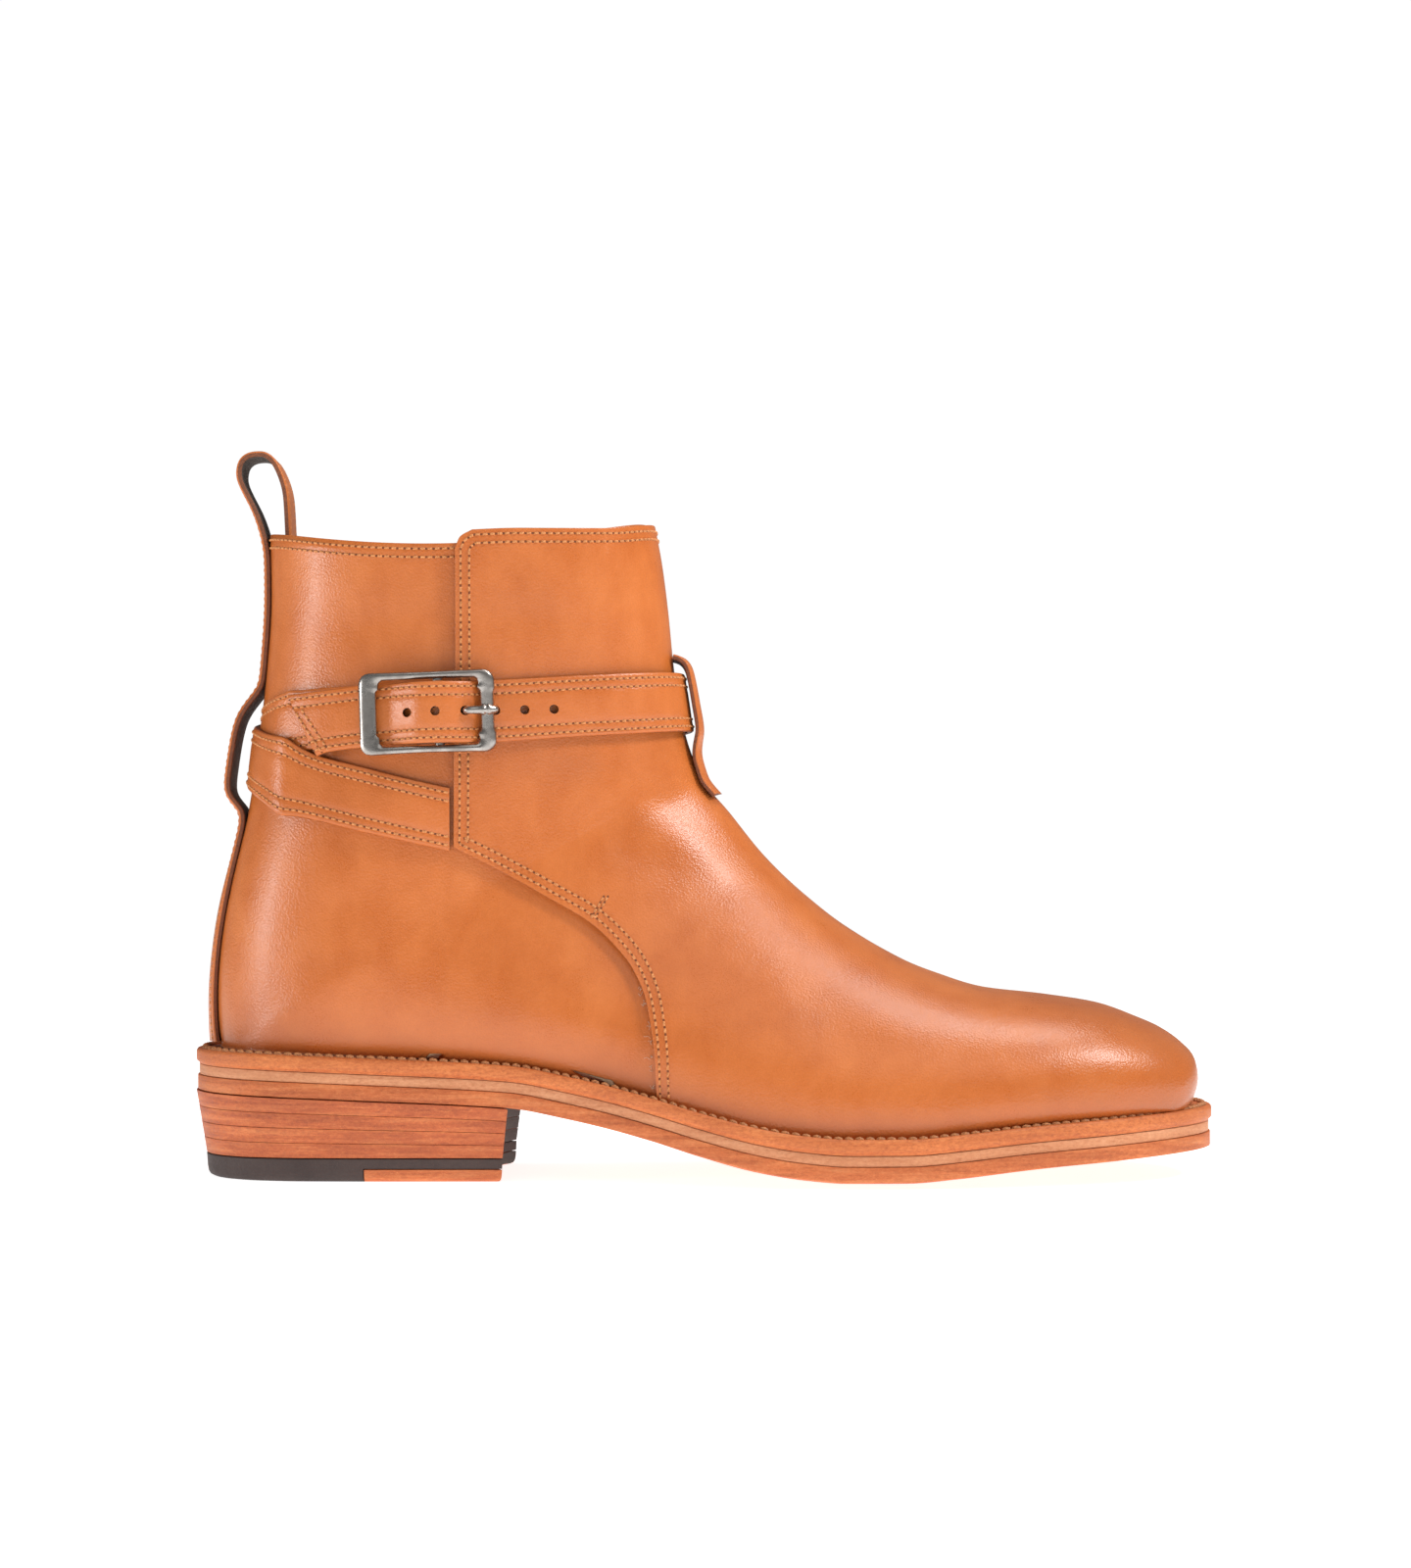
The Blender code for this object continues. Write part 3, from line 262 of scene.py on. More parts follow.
# Routes of the straps. at: share of SHOE_LENGTH where a ray leaves the shaft's middle
# plane; turn: its direction in degrees; up: share of UPPER_HEIGHT above the welt at the
# shaft's middle, or None along the buckle's own line; layer: straps that lie beneath;
# slant: share of STRAP_WIDTH by which the upper edge runs on further.
LONG_STRAP = (
    # at, turn, up, layer, slant
    (0.2580, -90, 0.444, 0.00, 0.0),
    (0.2150, -90, 0.462, 0.00, 0.0),
    (0.1700, -90, 0.485, 0.00, 0.0),
    (0.1650, -123, 0.507, 0.75, 0.0),
    (0.1800, -137, 0.522, 1.35, 0.0),
    (0.2000, -150, 0.541, 1.30, 0.0),
    (0.2475, -180, 0.571, 1.40, 0.0),
    (0.2000, -210, 0.590, 1.40, 0.0),
    (0.1650, -237, 0.608, 1.15, 0.0),
    (0.1700, -270, 0.621, 1.00, 0.0),
    (0.2475, -270, 0.637, 1.00, 0.0),
    (0.3100, -285, 0.645, 1.00, 0.0),
    (0.3100, -325, 0.657, 1.15, 0.0),
    (0.3080, -343, 0.664, 1.35, 0.0),
    (0.3000, -360, 0.669, 1.45, 0.0),
    (0.3080, -377, 0.666, 1.35, 0.0),
    (0.3100, -395, 0.660, 1.15, 0.0),
    (0.3200, -435, 0.651, 1.00, 0.0),
    (0.3020, -450, None, 1.03, 0.0),
    (0.2860, -450, None, 1.08, 0.0),
    (0.2765, -450, None, 2.10, 0.0),
    (0.2530, -450, None, 3.80, 0.0),
    (0.2376, -450, None, 3.60, 0.0),
    (0.2178, -450, None, 2.05, 0.0),
    (0.2046, -450, None, 1.30, 0.0),
    (0.1900, -450, None, 1.05, 0.0),
    (0.1650, -462, 0.626, 1.00, 0.0),
    (0.1600, -476, 0.617, 1.00, 0.62),
)
BUCKLE_STRAP = (
    # at, turn, up, layer, slant
    (0.2580, 90, 0.444, 0.00, 0.0),
    (0.2150, 90, 0.462, 0.00, 0.0),
    (0.1700, 90, 0.485, 0.00, 0.0),
    (0.1650, 123, 0.520, 0.00, 0.0),
    (0.2000, 150, 0.565, 0.12, 0.0),
    (0.2475, 180, 0.605, 0.15, 0.0),
    (0.2000, 210, 0.622, 0.12, 0.0),
    (0.1650, 237, 0.633, 0.00, 0.0),
    (0.1700, 270, 0.632, 0.00, 0.0),
    (0.1910, 270, None, 0.00, 0.0),
    (0.2046, 270, None, 0.15, 0.0),
    (0.2178, 270, None, 0.85, 0.0),
    (0.2277, 270, None, 1.65, 0.0),
    (0.2380, 270, None, 2.45, 0.0),
)

# Back strip on the heel seam, with a slack keeper over the straps.
BACK_STRIP = (
    # up, layer
    (0.026, 0.00),
    (0.070, 0.00),
    (0.130, 0.00),
    (0.220, 0.00),
    (0.330, 0.00),
    (0.430, 0.00),
    (0.466, 0.50),
    (0.492, 2.60),
    (0.525, 2.90),
    (0.575, 2.90),
    (0.625, 2.65),
    (0.655, 1.95),
    (0.690, 0.50),
    (0.715, 0.00),
    (0.780, 0.00),
    (0.860, 0.00),
    (0.930, 0.00),
    (0.975, 0.00),
)
# Pull loop above the back of the collar. back: share of PULL_LOOP_DEPTH behind the
# collar's back; up: share of PULL_LOOP_HEIGHT above it.
PULL_LOOP = (
    # back, up
    (0.205, 0.190),
    (0.460, 0.475),
    (0.600, 0.700),
    (0.555, 0.875),
    (0.335, 0.985),
    (0.100, 0.995),
    (-0.120, 0.920),
    (-0.300, 0.700),
    (-0.385, 0.500),
    (-0.410, 0.300),
    (-0.430, 0.020),
    (-0.450, -0.250),
    (-0.450, -0.560),
)
FRONT_KEEPER = (
    # up, layer
    (0.480, 1.02),
    (0.491, 1.02),
    (0.503, 1.04),
    (0.518, 1.08),
    (0.535, 1.14),
    (0.550, 1.22),
    (0.568, 1.50),
    (0.590, 2.10),
    (0.612, 2.70),
    (0.640, 2.85),
    (0.675, 2.85),
    (0.728, 2.65),
    (0.746, 2.00),
    (0.752, 1.15),
)


def smooth(xs, ys, x):
    """Monotone cubic curve through the rows of a table."""
    xs = np.asarray(xs, float)
    ys = np.asarray(ys, float)
    step = np.diff(xs)
    rise = np.diff(ys) / step
    slope = np.zeros(len(xs))
    same = rise[:-1] * rise[1:] > 0
    before = np.where(same, rise[:-1], 1.0)
    after = np.where(same, rise[1:], 1.0)
    slope[1:-1] = np.where(same, 2.0 * before * after / (before + after), 0.0)
    slope[0] = rise[0]
    slope[-1] = rise[-1]
    x = np.clip(x, xs[0], xs[-1])
    i = np.clip(np.searchsorted(xs, x, side="right") - 1, 0, len(xs) - 2)
    t = (x - xs[i]) / step[i]
    return (
        ys[i] * (1 + 2 * t) * (1 - t) ** 2
        + slope[i] * step[i] * t * (1 - t) ** 2
        + ys[i + 1] * t * t * (3 - 2 * t)
        + slope[i + 1] * step[i] * t * t * (t - 1)
    )


def ease(value, start, end):
    share = np.clip((value - start) / (end - start), 0.0, 1.0)
    return share * share * (3 - 2 * share)


def bell(value, middle, width):
    return np.exp(-(((value - middle) / width) ** 2))


def column(table, index):
    return [row[index] for row in table]


def rows_between(table, steps):
    """Rows of a table with smooth steps from each one to the next."""
    index = range(len(table))
    columns = [column(table, k) for k in range(len(table[0]))]
    return [
        [float(smooth(index, values, t)) for values in columns]
        for t in np.linspace(0, len(table) - 1, steps * (len(table) - 1) + 1)
    ]


def between(where, places, rows):
    """Point at a place along rows of points, or direction along rows of directions."""
    return np.array([np.interp(where, places, rows[:, k]) for k in range(3)])


# Materials


class Finish:
    """Shorthand for building one material's nodes on object coordinates."""

    def __init__(self, name):
        self.material = bpy.data.materials.new(name)
        self.material.use_nodes = True
        self.tree = self.material.node_tree
        self.shader = self.tree.nodes["Principled BSDF"]
        self.place = self.add("ShaderNodeTexCoord").outputs["Object"]

    def add(self, kind, inputs=None, **settings):
        node = self.tree.nodes.new(kind)
        for key, value in settings.items():
            setattr(node, key, value)
        for key, value in (inputs or {}).items():
            self.feed(node.inputs[key], value)
        return node

    def feed(self, socket, value):
        if isinstance(value, bpy.types.NodeSocket):
            self.tree.links.new(value, socket)
        else:
            socket.default_value = value

    def stretched(self, scale):
        """Object coordinates scaled per axis, for grain that runs one way."""
        return self.add("ShaderNodeMapping", {"Vector": self.place, "Scale": scale}).outputs[0]

    def noise(self, scale, detail=3.0, roughness=0.5, stretch=(1, 1, 1), distortion=0.0):
        inputs = {
            "Vector": self.stretched(stretch),
            "Scale": scale,
            "Detail": detail,
            "Roughness": roughness,
            "Distortion": distortion,
        }
        return self.add("ShaderNodeTexNoise", inputs).outputs["Fac"]

    def cells(self, scale, feature="F1"):
        inputs = {"Vector": self.place, "Scale": scale}
        return self.add("ShaderNodeTexVoronoi", inputs, feature=feature).outputs["Distance"]

    def spread(self, value, low, high, to_low=0.0, to_high=1.0):
        inputs = {0: value, 1: low, 2: high, 3: to_low, 4: to_high}
        return self.add("ShaderNodeMapRange", inputs, clamp=True).outputs[0]

    def ramp(self, value, *stops):
        node = self.add("ShaderNodeValToRGB", {"Fac": value})
        ramp = node.color_ramp
        while len(ramp.elements) < len(stops):
            ramp.elements.new(1.0)
        for element, (place, colour) in zip(ramp.elements, stops):
            element.position = place
            element.color = (*colour, 1.0)
        return node.outputs["Color"]

    def mix(self, share, first, second, blend="MIX"):
        node = self.add("ShaderNodeMix", data_type="RGBA", blend_type=blend)
        self.feed(node.inputs[0], share)
        self.feed(node.inputs[6], first if hasattr(first, "name") else (*first, 1.0))
        self.feed(node.inputs[7], second if hasattr(second, "name") else (*second, 1.0))
        return node.outputs[2]

    def sum(self, first, second, operation="ADD"):
        return self.add("ShaderNodeMath", {0: first, 1: second}, operation=operation).outputs[0]

    def attribute(self, name):
        return self.add("ShaderNodeAttribute", attribute_name=name).outputs["Fac"]

    def relief(self, *layers, edge=0.0):
        """Bumps from (height, depth) layers, over edges softened by a radius."""
        normal = None
        if edge:
            normal = self.add("ShaderNodeBevel", {"Radius": edge}, samples=4).outputs[0]
        for height, depth in layers:
            node = self.add("ShaderNodeBump", {"Height": height, "Distance": depth})
            if normal:
                self.tree.links.new(normal, node.inputs["Normal"])
            normal = node.outputs[0]
        self.tree.links.new(normal, self.shader.inputs["Normal"])

    def finish(self, colour, roughness, **fixed):
        self.feed(self.shader.inputs["Base Color"], colour)
        self.feed(self.shader.inputs["Roughness"], roughness)
        for key, value in fixed.items():
            self.shader.inputs[key.replace("_", " ")].default_value = value
        return self.material


def tan_leather():
    """Smooth calf leather: clouded tan, fine grain, darker where it is burnished and where a
    shadow is painted below the straps.
    """
    look = Finish("tan_leather")
    clouds = look.noise(26.0, 4.0, 0.55, distortion=0.6)
    patches = look.noise(95.0, 5.0, 0.6, (1.0, 1.0, 0.6))
    pores = look.cells(1500.0)
    grain = look.noise(2600.0, 3.0, 0.6)
    wrinkle = look.noise(420.0, 4.0, 0.6, (1.0, 1.0, 1.6), 0.4)
    base = look.ramp(
        clouds,
        (0.32, (0.55, 0.134, 0.022)),
        (0.50, (0.63, 0.163, 0.030)),
        (0.70, (0.70, 0.198, 0.043)),
    )
    patch = look.ramp(patches, (0.38, (0.56, 0.140, 0.027)), (0.62, (0.71, 0.210, 0.052)))
    base = look.mix(0.35, base, patch)
    speck = look.ramp(grain, (0.35, (0.78, 0.74, 0.70)), (0.60, (1.0, 1.0, 1.0)))
    base = look.mix(0.30, base, speck, "MULTIPLY")
    uneven = look.spread(patches, 0.3, 0.7, 0.55, 1.15)
    # The mask holds real burnish and the painted shadow below the straps; both mix in the same
    # dark brown.
    burnt_and_shaded = look.sum(look.attribute("burnish_and_strap_shadow"), uneven, "MULTIPLY")
    base = look.mix(burnt_and_shaded, base, (0.30, 0.075, 0.018))
    dull = look.spread(patches, 0.3, 0.7, 0.27, 0.35)
    rough = look.sum(dull, look.spread(grain, 0.3, 0.7, -0.03, 0.05))
    look.relief((wrinkle, 0.00004), (pores, 0.00007), (grain, 0.00004), edge=0.00035)
    return look.finish(base, rough, Coat_Weight=0.10, Coat_Roughness=0.22)


def cut_leather():
    """Dyed cut edge of a strap or panel, slightly fibrous."""
    look = Finish("cut_leather")
    fibre = look.noise(900.0, 5.0, 0.65, (1.0, 1.0, 1.8))
    cloud = look.noise(130.0, 3.0, 0.5)
    base = look.ramp(fibre, (0.30, (0.125, 0.040, 0.018)), (0.70, (0.30, 0.095, 0.035)))
    base = look.mix(look.spread(cloud, 0.35, 0.65, 0.0, 0.6), base, (0.20, 0.062, 0.026))
    look.relief((fibre, 0.00022))
    return look.finish(base, look.spread(fibre, 0.3, 0.7, 0.50, 0.72))


def flesh_leather():
    """Rough dark flesh side on the inside of loops and keepers."""
    look = Finish("flesh_leather")
    nap = look.noise(1300.0, 6.0, 0.7)
    cloud = look.noise(160.0, 3.0, 0.5)
    base = look.ramp(nap, (0.30, (0.050, 0.034, 0.028)), (0.72, (0.135, 0.090, 0.066)))
    base = look.mix(look.spread(cloud, 0.35, 0.65, 0.0, 0.5), base, (0.080, 0.054, 0.042))
    look.relief((nap, 0.00030))
    return look.finish(base, look.spread(nap, 0.3, 0.7, 0.75, 0.95))


def lining_leather(name, dark, light):
    look = Finish(name)
    pores = look.cells(900.0)
    cloud = look.noise(60.0, 4.0, 0.6)
    base = look.ramp(cloud, (0.30, dark), (0.70, light))
    base = look.mix(look.spread(pores, 0.0, 0.4, 0.35, 0.0), base, dark)
    look.relief((pores, 0.00018), (look.noise(1800.0, 4.0), 0.00010))
    return look.finish(base, look.spread(cloud, 0.3, 0.7, 0.55, 0.70))


def sole_leather(name, dark, middle, light, streak=0.5):
    """Fibrous cut edge of a leather layer: speckled, with streaks along it."""
    look = Finish(name)
    speckle = look.noise(950.0, 6.0, 0.72, (0.75, 0.75, 1.6))
    streaks = look.noise(46.0, 6.0, 0.62, (1.0, 1.0, 14.0), 0.3)
    cloud = look.noise(34.0, 4.0, 0.6, (1.0, 1.0, 2.5))
    flecks = look.noise(2300.0, 3.0, 0.6, (0.7, 0.7, 1.5))
    base = look.ramp(speckle, (0.30, dark), (0.50, middle), (0.72, light))
    run = look.ramp(streaks, (0.34, dark), (0.50, middle), (0.68, light))
    base = look.mix(streak, base, run)
    base = look.mix(look.spread(cloud, 0.35, 0.68, 0.0, 0.42), base, dark)
    base = look.mix(look.spread(flecks, 0.60, 0.74, 0.0, 0.55), base, light)
    look.relief((speckle, 0.00018), (streaks, 0.00010), (flecks, 0.00008))
    return look.finish(base, look.spread(speckle, 0.3, 0.7, 0.42, 0.66), Specular_IOR_Level=0.45)


def dark_breast_face():
    """Dark grey-brown colour of the heel's hollow front face."""
    look = Finish("dark_breast_face")
    fibre = look.noise(700.0, 5.0, 0.65, (1.0, 1.0, 3.0))
    base = look.ramp(fibre, (0.3, (0.030, 0.024, 0.021)), (0.7, (0.085, 0.068, 0.060)))
    look.relief((fibre, 0.00020))
    return look.finish(base, look.spread(fibre, 0.3, 0.7, 0.55, 0.75))


def heel_rubber():
    look = Finish("heel_rubber")
    grit = look.noise(1500.0, 4.0, 0.6)
    cloud = look.noise(70.0, 4.0, 0.6)
    base = look.ramp(cloud, (0.30, (0.039, 0.023, 0.020)), (0.70, (0.064, 0.040, 0.034)))
    base = look.mix(look.spread(grit, 0.62, 0.75, 0.0, 0.5), base, (0.12, 0.095, 0.085))
    look.relief((grit, 0.00012))
    return look.finish(base, look.spread(grit, 0.3, 0.7, 0.55, 0.75))


def buckle_metal():
    """Nickel plate, polished on the high places and dull in between."""
    look = Finish("buckle_metal")
    wear = look.noise(160.0, 4.0, 0.6)
    pits = look.noise(1300.0, 4.0, 0.6)
    base = look.ramp(wear, (0.30, (0.26, 0.235, 0.215)), (0.68, (0.47, 0.445, 0.415)))
    base = look.mix(look.spread(pits, 0.58, 0.72, 0.0, 0.5), base, (0.17, 0.15, 0.135))
    dull = look.spread(wear, 0.3, 0.7, 0.34, 0.20)
    rough = look.sum(dull, look.spread(pits, 0.3, 0.7, -0.02, 0.06))
    look.relief((pits, 0.00001), (wear, 0.00002))
    return look.finish(base, rough, Metallic=1.0)


def thread(name, colour, dark):
    look = Finish(name)
    twist = look.noise(2400.0, 2.0, 0.5, (1.0, 1.0, 1.3))
    base = look.ramp(twist, (0.35, dark), (0.65, colour))
    look.relief((twist, 0.00012))
    return look.finish(base, look.spread(twist, 0.3, 0.7, 0.45, 0.70))


# Painted shade of the needle holes: small dark red-brown discs where the thread goes in.
def needle_hole_shade():
    look = Finish("needle_hole_shade")
    grit = look.noise(1800.0, 2.0)
    base = look.ramp(grit, (0.3, (0.13, 0.036, 0.012)), (0.7, (0.27, 0.078, 0.022)))
    return look.finish(base, look.spread(grit, 0.3, 0.7, 0.7, 0.9))


LOOKS = {
    "tan": tan_leather(),
    "cut": cut_leather(),
    "flesh": flesh_leather(),
    "lining": lining_leather("lining_leather", (0.20, 0.115, 0.062), (0.33, 0.20, 0.115)),
    "insole": lining_leather("insole_leather", (0.30, 0.19, 0.11), (0.46, 0.31, 0.19)),
    "sole": sole_leather(
        "sole_leather", (0.33, 0.070, 0.017), (0.64, 0.165, 0.044), (0.84, 0.33, 0.12)
    ),
    "lift": sole_leather(
        "lift_leather", (0.27, 0.052, 0.014), (0.56, 0.126, 0.034), (0.80, 0.28, 0.092)
    ),
    "midsole": sole_leather(
        "midsole_leather", (0.48, 0.155, 0.055), (0.70, 0.30, 0.14), (0.84, 0.45, 0.25), 0.35
    ),
    "welt": sole_leather(
        "welt_leather", (0.38, 0.085, 0.020), (0.66, 0.180, 0.046), (0.84, 0.31, 0.095), 0.25
    ),
    "dark_breast": dark_breast_face(),
    "rubber": heel_rubber(),
    "metal": buckle_metal(),
    "thread": thread("seam_thread", (0.78, 0.33, 0.115), (0.50, 0.175, 0.048)),
    "welt_thread": thread("welt_thread", (0.62, 0.27, 0.10), (0.30, 0.10, 0.035)),
    # Painted shade of the needle holes
    "needle_shade": needle_hole_shade(),
    "fibre": thread("loose_fibre", (0.82, 0.62, 0.46), (0.66, 0.44, 0.28)),
}


# Meshes


def new_piece(name, mesh, looks, slot, *nodes):
    """Piece with its finishes, which moves with the boot and stands for solids of it."""
    piece = bpy.data.objects.new(name, mesh)
    bpy.context.scene.collection.objects.link(piece)
    for look in looks:
        mesh.materials.append(LOOKS[look])
    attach(piece, "root")
    if nodes:
        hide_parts(*nodes)
    return piece


# Edges sharper than this are shaded as edges
SHARP_ANGLE = math.radians(38)
VAMP_SHARP_ANGLE = math.radians(40)


def mesh_of(shape, name):
    """Mesh made from an edited shape, which is freed."""
    mesh = bpy.data.meshes.new(name)
    shape.to_mesh(mesh)
    shape.free()
    return mesh


def mesh_from(name, points, faces, slots=None):
    """Mesh with doubled points welded, bare faces dropped and faces turned outward."""
    shape = bmesh.new()
    verts = [shape.verts.new(point) for point in points]
    for k, face in enumerate(faces):
        made = shape.faces.new([verts[i] for i in face])
        if slots is not None:
            made.material_index = slots[k]
    bmesh.ops.remove_doubles(shape, verts=shape.verts, dist=2e-6)
    bmesh.ops.dissolve_degenerate(shape, dist=2e-6, edges=shape.edges)
    bmesh.ops.recalc_face_normals(shape, faces=shape.faces)
    mesh = mesh_of(shape, name)
    mesh.shade_smooth()
    mesh.set_sharp_from_angle(angle=SHARP_ANGLE)
    return mesh


def grid_faces(rows, columns, start=0):
    faces = []
    for i in range(rows - 1):
        for j in range(columns - 1):
            a = start + i * columns + j
            faces.append((a, a + 1, a + columns + 1, a + columns))
    return faces


def rim(rows, columns):
    """Indices of the points round the edge of a grid."""
    ring = [j for j in range(columns)]
    ring += [i * columns + columns - 1 for i in range(1, rows)]
    ring += [(rows - 1) * columns + j for j in range(columns - 2, -1, -1)]
    ring += [i * columns for i in range(rows - 2, 0, -1)]
    return ring


def levels_mesh(name, levels):
    """Closed mesh of stacked grids: the outer two are its faces, the others its edge."""
    rows, columns = levels[0].shape[:2]
    count = rows * columns
    edge = rim(rows, columns)
    points = list(levels[0].reshape(-1, 3))
    rings = [edge]
    for level in levels[1:-1]:
        rings.append([len(points) + k for k in range(len(edge))])
        points += list(level.reshape(-1, 3)[edge])
    start = len(points)
    points += list(levels[-1].reshape(-1, 3))
    rings.append([start + k for k in edge])
    faces = [tuple(reversed(face)) for face in grid_faces(rows, columns)]
    faces += grid_faces(rows, columns, start)
    for low, high in zip(rings, rings[1:]):
        for k in range(len(edge)):
            m = (k + 1) % len(edge)
            faces.append((low[k], low[m], high[m], high[k]))
    return mesh_from(name, points, faces)


def loops_mesh(name, loops, slots=None, closed=False):
    """Tube through loops of points, closed on itself or capped at both ends.

    The slots give the finish of each strip along the tube.
    """
    size = len(loops[0])
    points = [point for loop in loops for point in loop]
    faces = []
    finishes = []
    turns = len(loops) if closed else len(loops) - 1
    for i in range(turns):
        following = (i + 1) % len(loops)
        for j in range(size):
            m = (j + 1) % size
            faces.append(
                (i * size + j, i * size + m, following * size + m, following * size + j)
            )
            finishes.append(slots[j] if slots else 0)
    if not closed:
        last = (len(loops) - 1) * size
        faces.append(tuple(range(size - 1, -1, -1)))
        faces.append(tuple(range(last, last + size)))
        finishes += [1 if slots else 0] * 2
    return mesh_from(name, points, faces, finishes)


def apply_modifiers(item):
    """Replaces an object's mesh by the one its modifiers make."""
    graph = bpy.context.evaluated_depsgraph_get()
    mesh = bpy.data.meshes.new_from_object(item.evaluated_get(graph))
    item.modifiers.clear()
    item.data = mesh


def cut(item, mesh, operation="DIFFERENCE", overlapping=False):
    """Boolean of an object, which may touch itself, with a mesh that keeps its finish."""
    cutter = bpy.data.objects.new(item.name + "_cutter", mesh)
    bpy.context.scene.collection.objects.link(cutter)
    modifier = item.modifiers.new("cut", "BOOLEAN")
    modifier.operation = operation
    modifier.solver = "EXACT"
    modifier.material_mode = "TRANSFER"
    modifier.use_self = overlapping
    modifier.object = cutter
    bpy.context.view_layer.update()
    apply_modifiers(item)
    bpy.data.objects.remove(cutter, do_unlink=True)


# Sole


def half_widths(s):
    """Half-widths of the sole's plan, rounded off at both ends."""
    at = np.asarray(s) / SHOE_LENGTH
    first = PLAN[1][0]
    last = PLAN[-2][0]
    back = np.sqrt(np.clip(at / first, 0.0, 1.0))
    toe = np.sqrt(np.clip((1 - at) / (1 - last), 0.0, 1.0))
    inside = np.clip(at, first, last)
    outer = smooth(column(PLAN, 0), column(PLAN, 1), inside) * BALL_WIDTH
    inner = smooth(column(PLAN, 0), column(PLAN, 2), inside) * BALL_WIDTH
    return outer * back * toe, inner * back * toe


def underside(s, y):
    at = np.asarray(s) / SHOE_LENGTH
    place = column(UNDERSIDE, 0)
    middle = smooth(place, column(UNDERSIDE, 1), at) * HEEL_RISE
    middle = middle + smooth(place, column(UNDERSIDE, 2), at) * TOE_SPRING
    edge = smooth(place, column(UNDERSIDE, 3), at) * EDGE_LIFT
    outer, inner = half_widths(s)
    width = np.where(np.asarray(y) < 0, outer, inner)
    share = np.clip(np.abs(y) / np.maximum(width, 1e-4), 0.0, 1.0)
    return middle + edge * np.clip((share - 0.5) / 0.5, 0.0, 1.0) ** 2


WELT_BOTTOM = OUTSOLE_THICKNESS + MIDSOLE_THICKNESS + 2 * GAP
MIDSOLE_BOTTOM = OUTSOLE_THICKNESS + GAP
WELT_TOP = WELT_BOTTOM + WELT_THICKNESS
SEAT = WELT_TOP + SEAT_GAP
VAMP_STEP = GAP + VAMP_THICKNESS


def plan_path():
    """Closed path round the plan and its inward direction at each point."""
    s = 0.5 * SHOE_LENGTH * (1 - np.cos(np.linspace(0, math.pi, PLAN_STATIONS + 1)))
    outer, inner = half_widths(s)
    there = np.column_stack([s, -outer])
    back = np.column_stack([s, inner])[-2:0:-1]
    path = np.concatenate([there, back])
    along = np.roll(path, -1, axis=0) - np.roll(path, 1, axis=0)
    along /= np.linalg.norm(along, axis=1)[:, None]
    return path, np.column_stack([-along[:, 1], along[:, 0]])


PATH, INWARD = plan_path()


def upper_margin(s):
    """How far the upper's outside lies in from the sole's edge, more under the vamp."""
    at = s / SHOE_LENGTH
    shelf = TOE_SHELF * ease(at, *TOE_SHELF_SPAN)
    shelf += HEEL_SHELF * (1 - ease(at, *HEEL_SHELF_SPAN))
    return WELT_MARGIN + VAMP_STEP * ease(at, *VAMP_STEP_SPAN) + shelf


def inset_path(inset):
    if callable(inset):
        inset = inset(PATH[:, 0])[:, None]
    return PATH + INWARD * inset


def two_sides(drawn):
    """Outer and inner side of a path round the plan, each from the back to the toe."""
    count = len(drawn)
    inner = [(count - k) % count for k in range(PLAN_STATIONS + 1)]
    return drawn[: PLAN_STATIONS + 1], drawn[inner]


def path_loop(inset, height):
    """Loop of points round the sole, drawn in from its edge, at a height above it."""
    drawn = inset_path(inset)
    z = underside(drawn[:, 0], drawn[:, 1]) + height
    return np.column_stack([drawn[:, 0] - ORIGIN_FROM_BACK, drawn[:, 1], z])


def plate_level(inset, height):
    outer, inner = two_sides(inset_path(inset))
    grid = []
    for share in PLATE_ACROSS:
        line = outer + (inner - outer) * share
        z = underside(line[:, 0], line[:, 1]) + height
        grid.append(np.column_stack([line[:, 0] - ORIGIN_FROM_BACK, line[:, 1], z]))
    return np.stack(grid, axis=1)


def make_plate(name, inset, bottom, thickness, softness, look, slot):
    """Flat layer of the sole with softened edges."""

    def drawn_in(extra):
        if callable(inset):
            return lambda s: inset(s) + extra
        return inset + extra

    corner = ((softness, 0.0), (0.3 * softness, 0.3 * softness), (0.0, softness))
    levels = [plate_level(drawn_in(extra), bottom + up) for extra, up in corner]
    levels += [
        plate_level(drawn_in(extra), bottom + thickness - down) for extra, down in corner[::-1]
    ]
    return new_piece(name + "_look", levels_mesh(name, levels), [look], slot, name)


# Edge of the welt from its bottom to the upper: a groove, a face and a rounded shoulder
WELT_EDGE = (
    # inset, share of WELT_THICKNESS
    (0.00090, 0.00),
    (0.00075, 0.10),
    (0.00020, 0.17),
    (0.00002, 0.25),
    (0.00000, 0.45),
    (0.00000, 0.74),
    (0.00012, 0.86),
    (0.00045, 0.95),
    (0.00110, 1.00),
    (0.00180, 0.95),
    (0.00300, 0.95),
    (0.00380, 1.00),
)


def make_welt():
    loops = [path_loop(inset, WELT_BOTTOM + share * WELT_THICKNESS) for inset, share in WELT_EDGE]
    loops.append(path_loop(upper_margin, WELT_TOP))
    loops.append(path_loop(lambda s: upper_margin(s) + WELT_RIM, WELT_TOP))
    loops.append(path_loop(lambda s: upper_margin(s) + WELT_RIM, WELT_BOTTOM))
    mesh = loops_mesh("welt", loops, closed=True)
    new_piece("welt_look", mesh, ["welt"], "welt_leather", "welt")


